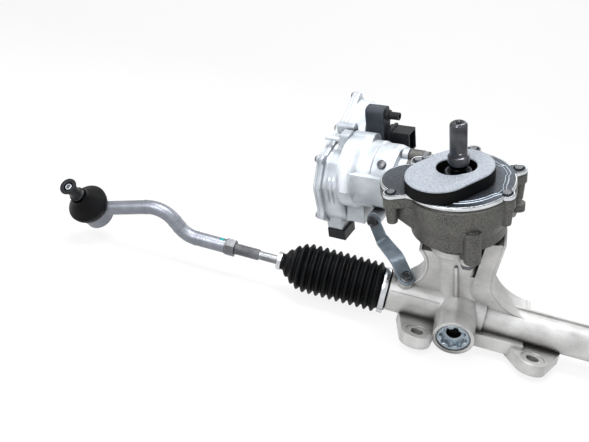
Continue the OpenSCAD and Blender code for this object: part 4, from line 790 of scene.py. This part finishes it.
def plug_of_yoke():
    """Plug with a star socket: the socket's radius swings between root and tip by a squared-off cosine with one
    turn for each lobe. A round hole lies below it, lined with a dark skin that is painted shade."""
    lobes, squareness, low, face, steps = 8, 2.2, 30.0, 47.2, 192
    star = 12.9 + 1.35 * np.tanh(squareness * np.cos(lobes * around(steps))) / np.tanh(squareness)
    rows = round_rows([
        (0.5, low), (17.85, low), (17.85, face - 1.6), (17.2, face - 1.0), (16.6, face - 1.0),
        (16.3, face - 0.3), (16.0, face), (star + 0.7, face), (star + 0.15, face - 0.4),
        (star - 0.2, face - 7.0), (star * 0.8, face - 7.6), (8.4, face - 7.8), (7.6, face - 8.4),
        (7.4, face - 13.0), (0.5, face - 13.2)], steps)
    turn = about_x(PINION_LEAN + 90).T
    skin("plug_with_star_socket", [on_rack(rows @ turn)], "zinc", "yoke_plug")
    # painted shade: a dark skin lining the hole
    bore = round_rows([(0.4, face - 13.15), (7.55, face - 13.15), (7.65, face - 8.0), (7.2, face - 7.7),
                       (7.0, face - 8.3), (6.9, face - 12.6), (0.4, face - 12.8)])
    skin("plug_hole_painted_shade", [on_rack(bore @ turn)], "seal")


plug_of_yoke()


# ---------------------------------------------------------------- caps of the ball studs

def stud_cap_piece(side):
    """Long thimble over the stud's thread, flared to a flat disc at its end, and the stud's tip inside it."""
    cap = round_rows([(6.0, 34.2), (8.4, 34.6), (8.6, 36.6), (6.7, 37.6), (6.3, 45.0), (6.6, 50.5), (9.4, 53.2),
                      (9.8, 54.4), (9.5, 55.4), (8.6, 55.6), (5.6, 54.6), (5.2, 53.0), (5.2, 49.2),
                      (0.4, 49.0)])
    tip = round_rows([(3.9, 49.1), (3.9, 53.9), (3.5, 54.3), (2.2, 54.3), (2.0, 53.8), (2.0, 50.2),
                      (0.3, 50.0)], 36)
    skin(side + "_stud_thimble", [at_end(side, on_stud(cap))], "black_plastic",
         side + "_stud_cap", side + "_stud")
    skin(side + "_stud_tip", [at_end(side, on_stud(tip))], "bright", body=side + "_stud")


for side in SIDES:
    stud_cap_piece(side)


# ---------------------------------------------------------------- edge and beads of the gear cover
COVER_CENTRE = np.array([0.0, 4.0])
COVER_SCREWS = [(-62.6, -27.4), (46.4, -21.7), (56.4, 25.9), (-44.0, 38.0), (10.0, 64.0)]
COVER_TOP = 152.5
COVER_INSET = 0.8
COVER_PLATE = (0, 4, 56.0)
WORM_LOBE = ((-48, 0, 30), (-20, -6, 34))
EAR_RADIUS, EAR_ROOT_RADIUS, EAR_ROOT_AT = 8.5, 11.5, 0.72
BEAD_LIMIT = 58.0


def between(a, b, count=24):
    """Circles between two circles, so that their union is nearly the hull of the two."""
    t = np.linspace(0, 1, count)[:, None]
    return (1 - t) * np.array([a], float) + t * np.array([b], float)


def cover_radius(a):
    """Outline of the cover, a little inside its solid: the round plate, the worm's lobe and an ear at each
    screw."""
    parts = [np.array([COVER_PLATE]), between(*WORM_LOBE)]
    parts += [between((x, y, EAR_RADIUS), (EAR_ROOT_AT * x, EAR_ROOT_AT * y, EAR_ROOT_RADIUS))
              for x, y in COVER_SCREWS]
    return round_union(np.concatenate(parts) - [0, 0, COVER_INSET], a, COVER_CENTRE)


def cover_details():
    """Bright machined edge round the cover, and two raised beads that follow the cover's edge further in. A
    bead's section is half an ellipse."""
    a = around(540)
    outline = cover_radius(a)
    edge = [(-1.5, COVER_TOP - 0.4), (-1.3, COVER_TOP + 0.06), (-0.55, COVER_TOP + 0.06),
            (0.3, COVER_TOP - 0.9), (0.3, 148.6), (-0.4, 148.4)]
    edge = round_rows([(outline + out, z) for out, z in edge], a, COVER_CENTRE)
    skin("cover_machined_edge", [on_pinion(edge)], "machined", rings=True)
    smooth = np.minimum(softened(outline, 60), BEAD_LIMIT)
    q = np.linspace(0, math.pi, 7)
    beads = []
    for inset, wide, high in ((8.0, 0.8, 0.55), (11.2, 0.6, 0.45)):
        section = [(wide * math.cos(k), high * math.sin(k)) for k in q] + [(0.0, -0.3)]
        beads.append(round_rows([(smooth - inset + u, COVER_TOP + v) for u, v in section], a, COVER_CENTRE))
    skin("cover_beads", [on_pinion(b) for b in beads], "machined_dull", rings=True)


cover_details()


# ---------------------------------------------------------------- tower of the rack housing

def on_web(points):
    """Points measured in the plane of the tower's webs: X along the rack, Z up the lean."""
    p = np.asarray(points, float) + [0, PINION_OFFSET / 2, 0]
    return on_rack(p @ about_x(PINION_LEAN).T)


def rim_along(path, half_width, depth):
    """Raised rim: a chamfered rectangle swept along a path in the plane of a web, depth into the metal."""
    path = np.asarray(path, float)
    run = np.gradient(path, axis=0)
    run /= np.linalg.norm(run, axis=1)[:, None]
    into = np.stack([-run[:, 1], run[:, 0]], -1)
    w, c = half_width, 0.7
    section = np.array([(0, c - w), (0, w - c), (c, w), (depth - c, w), (depth, w - c), (depth, c - w),
                        (depth - c, -w), (c, -w)])
    flat = path[:, None] + into[:, None] * section[:, :1]
    level = np.broadcast_to(section[:, 1], flat.shape[:2])
    return np.stack([flat[..., 0], level, flat[..., 1]], -1)


def arc_points(middle, r, start, stop, steps):
    """Points of a circle in the plane of a web, from start to stop degrees."""
    return middle + r * circle(np.radians(np.linspace(start, stop, steps)))


def tower_details():
    """Front of the tower as a rounded column that stands out of the webs, rims on the edges of both webs, and
    the right web's upper end below the bowl."""
    x, y = squared(around(72), 2.5)
    rows = [(1.22, 14.0), (1.16, 20.0), (1.07, 24.0), (1.02, 28.0), (1.0, 33.0), (1.0, 60.0), (1.01, 82.0),
            (1.0, 86.0)]
    column = level_rows([(20.8 * k * x, -13.2 + 11.6 * k * y, z) for k, z in rows])
    left = rim_along(arc_points((-75, 45), 29.6, 50, -50, 32), 14.4, 3.4)
    t = np.linspace(0, 1, 14)[:, None]  # the right rim turns from upright to its long arc by a quadratic arc
    bend = (1 - t) ** 2 * [24.8, 72.0] + 2 * t * (1 - t) * [24.8, 47.8] + t ** 2 * [30.9, 38.5]
    right = np.concatenate([[(24.8, 100.8), (24.8, 86.0)], bend, arc_points((74, 68.7), 52.3, 217, 266, 30)])
    right = rim_along(right[::-1], 16.0, 3.0)
    w = 15.3  # half the width of the web's wall
    wall = np.array([[(6, -w, z), (24, -w, z + rise), (24, w, z + rise), (6, w, z)]
                     for z, rise in ((44.0, 0.0), (60.0, 0.0), (75.0, 1.0), (96.3, 4.5))])
    skin("tower_details", [on_pinion(column), on_web(left), on_web(right), on_web(wall)], "cast")


tower_details()


# ---------------------------------------------------------------- control unit
UNIT_MIDDLE = np.array([-8.0, 15.0])
UNIT_CORNERS = [(56, 81), (50, 90), (24, 88), (-44, 50), (-68, 4), (-68, -22), (-50, -34), (-9, -38.5),
                (21, -20), (35, 33)]
UNIT_SCREWS = np.array([(54.5, 80), (34, 32), (19, -19.5), (-50, -33), (-45, 47), (24, 87)])
UNIT_EAR = 5.2
UNIT_BACK = 145.0
UNIT_FLANGE = 170.0
UNIT_SEAM = 176.0


def polygon_radius(corners, middle, a):
    """Distance from the middle to a polygon's edge at each angle, by crossing the ray with every side."""
    p = np.asarray(corners, float) - middle
    e = np.roll(p, -1, 0) - p
    d = np.stack([np.cos(a), np.sin(a)])
    across = d[0] * e[:, 1:] - d[1] * e[:, :1]
    across = np.where(np.abs(across) < 1e-9, 1e-9, across)
    r = (p[:, :1] * e[:, 1:] - p[:, 1:] * e[:, :1]) / across
    t = (p[:, :1] * d[1] - p[:, 1:] * d[0]) / across
    return np.where((t >= -1e-6) & (t <= 1 + 1e-6) & (r > 0), r, 0).max(0)


def unit_rows(rows, a):
    """Rows of (radius over the angle, distance along the worm) about the middle of the control unit."""
    return on_motor(round_rows(rows, a, UNIT_MIDDLE))


def unit_pin(rows, at, a=36):
    """Turned rows about a line along the worm, at a point of the control unit."""
    return on_motor(round_rows(rows, a, at))


def soft_block(middle, half, power, rows):
    """Block with rounded corners along the worm. Each row is (inset from the half sizes, distance)."""
    x, y = squared(around(64), power)
    return on_motor(level_rows([(middle[0] + (half[0] - k) * x, middle[1] + (half[1] - k) * y, z)
                                for k, z in rows]))


def control_unit():
    """Case with two raised ribs on its front wall, each a bell over the distance along the worm, and a wider
    flange. Then its cover with a raised panel, six screws and the board inside."""
    a = around(420)
    body = softened(polygon_radius(UNIT_CORNERS, UNIT_MIDDLE, a), 26)
    ears = np.concatenate([UNIT_MIDDLE + (UNIT_SCREWS - UNIT_MIDDLE) * k for k in (0.93, 0.97, 1.0)])
    ears = np.column_stack([ears, np.full(len(ears), UNIT_EAR)])
    flange = softened(np.maximum(body, round_union(ears, a, UNIT_MIDDLE)), 2)
    front, half_angle, rib_height, rib_width = math.radians(263), 0.30, 1.5, 1.1
    turn = (a - front + math.pi) % TAU - math.pi
    window = 1 / (1 + np.exp((np.abs(turn) - half_angle) * 40))
    walls = []
    for z in np.concatenate([[152.0], np.linspace(154.5, 165.5, 23)]):
        ribs = sum(math.exp(-((z - at) / rib_width) ** 2) for at in (157.4, 162.6))
        walls.append((body - 5.0 + 0.03 * (z - 152) + rib_height * window * min(ribs, 1.0), z))
    rows = [(body - 16, UNIT_BACK + 0.02), (body - 8.4, UNIT_BACK + 0.1), (body - 6.6, UNIT_BACK + 1.2),
            (body - 5.6, UNIT_BACK + 3.4), *walls, (body - 4.4, 168.2), (body - 3.6, 169.4),
            (flange - 0.8, UNIT_FLANGE), (flange - 0.2, UNIT_FLANGE + 0.5), (flange, UNIT_FLANGE + 1.0),
            (flange, UNIT_SEAM - 0.6), (flange - 0.4, UNIT_SEAM), (flange - 6, UNIT_SEAM)]
    pin = unit_pin([(2.3, 156.4), (2.9, 157.0), (2.9, 178.0), (2.3, 178.7), (0.2, 178.7)], (36.0, 3.0))
    lug = soft_block((37.0, 5.0), (9.0, 8.5), 5,
                     [(1.5, 145.1), (0.0, 146.0), (0.0, 156.6), (0.8, 157.4), (4, 157.5)])
    boss = soft_block((42.0, 20.0), (7.0, 6.0), 3,
                      [(1.5, 147), (0.0, 148.0), (0.0, 168.6), (0.6, 169.4), (3, 169.5)])
    arm = soft_block((-62.0, -17.0), (13.0, 8.0), 6,
                     [(1.5, 153.0), (0.0, 154.0), (0.0, 172.6), (0.8, 173.6), (5, 173.7)])
    skin("control_unit_case", [unit_rows(rows, a), pin, lug, boss, arm], "motor_cast",
         "ecu_housing")

    plate = [(flange - 5, UNIT_SEAM + 0.1), (flange - 0.6, UNIT_SEAM + 0.1), (flange - 0.3, UNIT_SEAM + 0.4),
             (flange - 0.3, 178.9), (flange - 0.8, 179.4), (body - 9, 179.4), (body - 10, 180.4),
             (body - 10.8, 180.7), (body - 17, 180.7), (body - 17.8, 180.4), (body - 18.6, 179.6),
             (body - 24, 179.5)]
    skin("control_unit_cover", [unit_rows(plate, a)], "motor_cast", "ecu_cover")

    socket = 1.5 + 0.25 * np.cos(6 * around(36))
    heads = [unit_pin([(3.7, 179.45), (3.9, 179.8), (3.9, 180.7), (3.3, 181.7), (socket + 0.2, 181.9),
                       (socket, 181.6), (socket * 0.9, 180.6), (0.2, 180.5)], q) for q in UNIT_SCREWS]
    skin("control_unit_screws", heads, "bare_steel", "ecu_screws")

    parts = [unit_rows([(body - 9, 158.6), (body - 9, 160.2)], a)]
    parts += [unit_pin([(5, 160.0), (5, 167.4), (4.4, 168), (0.3, 168)], (16, y)) for y in (0, 16, 32)]
    skin("control_board", parts, "board", "ecu_board")


control_unit()


def dark_plug():
    """Sealing plug on the front of the motor: a low dome in a rim, turned about a radius of the can."""
    rows = round_rows([(4.75, 38.4), (4.9, 39.4), (4.9, 41.2), (4.6, 41.6), (4.0, 41.6), (3.8, 41.3),
                       (2.4, 41.8), (0.3, 41.95)], 40)
    heading, along_worm = -41, 95.0
    swing = rows @ about_y(90).T @ about_z(heading).T
    skin("motor_plug", [on_motor(swing + [0, 0, along_worm])], "dark_steel")


dark_plug()


# ---------------------------------------------------------------- input shaft

def shaft_top():
    """Input shaft: collar and upper end turned in one line, with a flat on the end, whose radius is the flat's
    distance over the cosine of the angle from its middle, a dished centre hole, and the bore that holds the
    torsion bar."""
    end, near_flat, bore, rim, facing = 8.5, 6.9, 4.05, 3.0, math.radians(305)
    a = around(180)
    turn = (a - facing + math.pi) % TAU - math.pi
    flat = np.minimum(end, near_flat / np.maximum(np.cos(turn), 0.2))
    one_flat = np.where(np.abs(turn) < math.pi / 2, flat, end)
    q = np.linspace(0, math.pi / 2, 8)[1:]
    rows = [(0.2, 204.0), (bore, 203.9), (bore, 125.4), (bore + 0.4, 125.0), (7.1, 125.0), (7.5, 125.4),
            (7.5, 160.0), (7.9, 160.8), (9.5, 171.0), (10.5, 172.2), (10.5, 179.2), (9.9, 180.4), (9.0, 180.9),
            (end, 181.1), (end, 184.5), (one_flat, 185.1)]
    rows += [(one_flat, z) for z in (190.0, 198.0, 206.0, 211.0)]
    rows += [(one_flat - rim * (1 - math.cos(k)), 212.0 + rim * math.sin(k)) for k in q]
    rows += [(3.4, 215.0), (3.0, 214.7), (1.9, 212.4), (1.8, 208.0), (0.2, 207.8)]
    skin("input_shaft_turned", [on_pinion(round_rows(rows, a))], "shaft", "input_shaft", "input",
         sharp=30)


shaft_top()


# ---------------------------------------------------------------- floor, light and camera
FOCAL_PIXELS, PHOTO_WIDTH = 700.0, 589.0


def backdrop():
    """Floor that runs back and curves up into a wall: a profile of flat, quarter arc and upright."""
    low, bend_at, bend = cad_box[0].z / MM - 0.5, 1500.0, 900.0
    a = np.linspace(0, math.pi / 2, 24)
    back = np.concatenate([[-2600.0, 0.0, bend_at], bend_at + bend * np.sin(a[1:]), [bend_at + bend]])
    up = np.concatenate([[0.0, 0.0, 0.0], bend * (1 - np.cos(a[1:])), [3200.0]])
    x = np.array([-4200.0, 4800.0])
    points = np.stack([np.broadcast_to(x[None], (len(back), 2)),
                       np.broadcast_to(back[:, None], (len(back), 2)),
                       np.broadcast_to(up[:, None] + low, (len(back), 2))], -1)
    MATERIALS["paper"] = white_paper("white_paper_backdrop")
    o = mesh_piece("backdrop", points, grid_faces(len(back), 2, False, False), "paper")


def looking(back):
    """Rotation whose Z points back, with Y as near up as it can be."""
    z = back / np.linalg.norm(back)
    x = np.cross([0, 0, 1], z)
    x /= np.linalg.norm(x)
    return np.stack([x, np.cross(z, x), z], -1).tolist()


def lamp(name, place, towards, size, watts):
    """Soft square lamp that looks at a point."""
    data = bpy.data.lights.new(name, "AREA")
    data.shape, data.size, data.energy = "SQUARE", size, watts
    o = bpy.data.objects.new(name, data)
    bpy.context.scene.collection.objects.link(o)
    d = np.array(place, float) - np.array(towards, float)
    o.matrix_world = Matrix.Translation(place) @ Matrix(looking(d)).to_4x4()


def camera():
    """Camera worked out from the photograph's round faces."""
    data = bpy.data.cameras.new("camera")
    data.sensor_width = 36.0
    data.lens = FOCAL_PIXELS / PHOTO_WIDTH * data.sensor_width
    data.clip_start, data.clip_end = 0.01, 50.0
    right = np.array([0.957, 0.2258, 0.1820])
    back = np.array([0.152, -0.925, 0.3482])
    back /= np.linalg.norm(back)
    right -= back * (right @ back)
    right /= np.linalg.norm(right)
    turn = np.stack([right, np.cross(back, right), back], -1)
    o = bpy.data.objects.new("camera", data)
    bpy.context.scene.collection.objects.link(o)
    o.matrix_world = Matrix.Translation((-0.0396, -0.6679, 0.3479)) @ Matrix(turn.tolist()).to_4x4()
    bpy.context.scene.camera = o


backdrop()
camera()
lamp("top", (-0.25, -0.1, 2.1), (0.05, 0.05, 0.1), 1.0, 50.0)
lamp("key", (-0.9, -1.5, 1.4), (0.0, 0.0, 0.1), 0.9, 34.0)
lamp("fill", (1.5, -1.4, 0.9), (0.0, 0.0, 0.1), 1.4, 4.0)
lamp("behind", (0.4, 1.6, 1.3), (0.0, 0.0, 0.1), 1.0, 8.0)
world = bpy.data.worlds.new("studio")
bpy.context.scene.world = world
world.use_nodes = True
background = world.node_tree.nodes["Background"]
background.inputs["Color"].default_value = hex_colour("#F4F6FA")
strength = add(world.node_tree, "MapRange", {"Value": seen_directly(world.node_tree), "To Min": 0.19,
                                             "To Max": 1.0})
world.node_tree.links.new(strength[0], background.inputs["Strength"])
bpy.context.scene.view_settings.view_transform = "Standard"
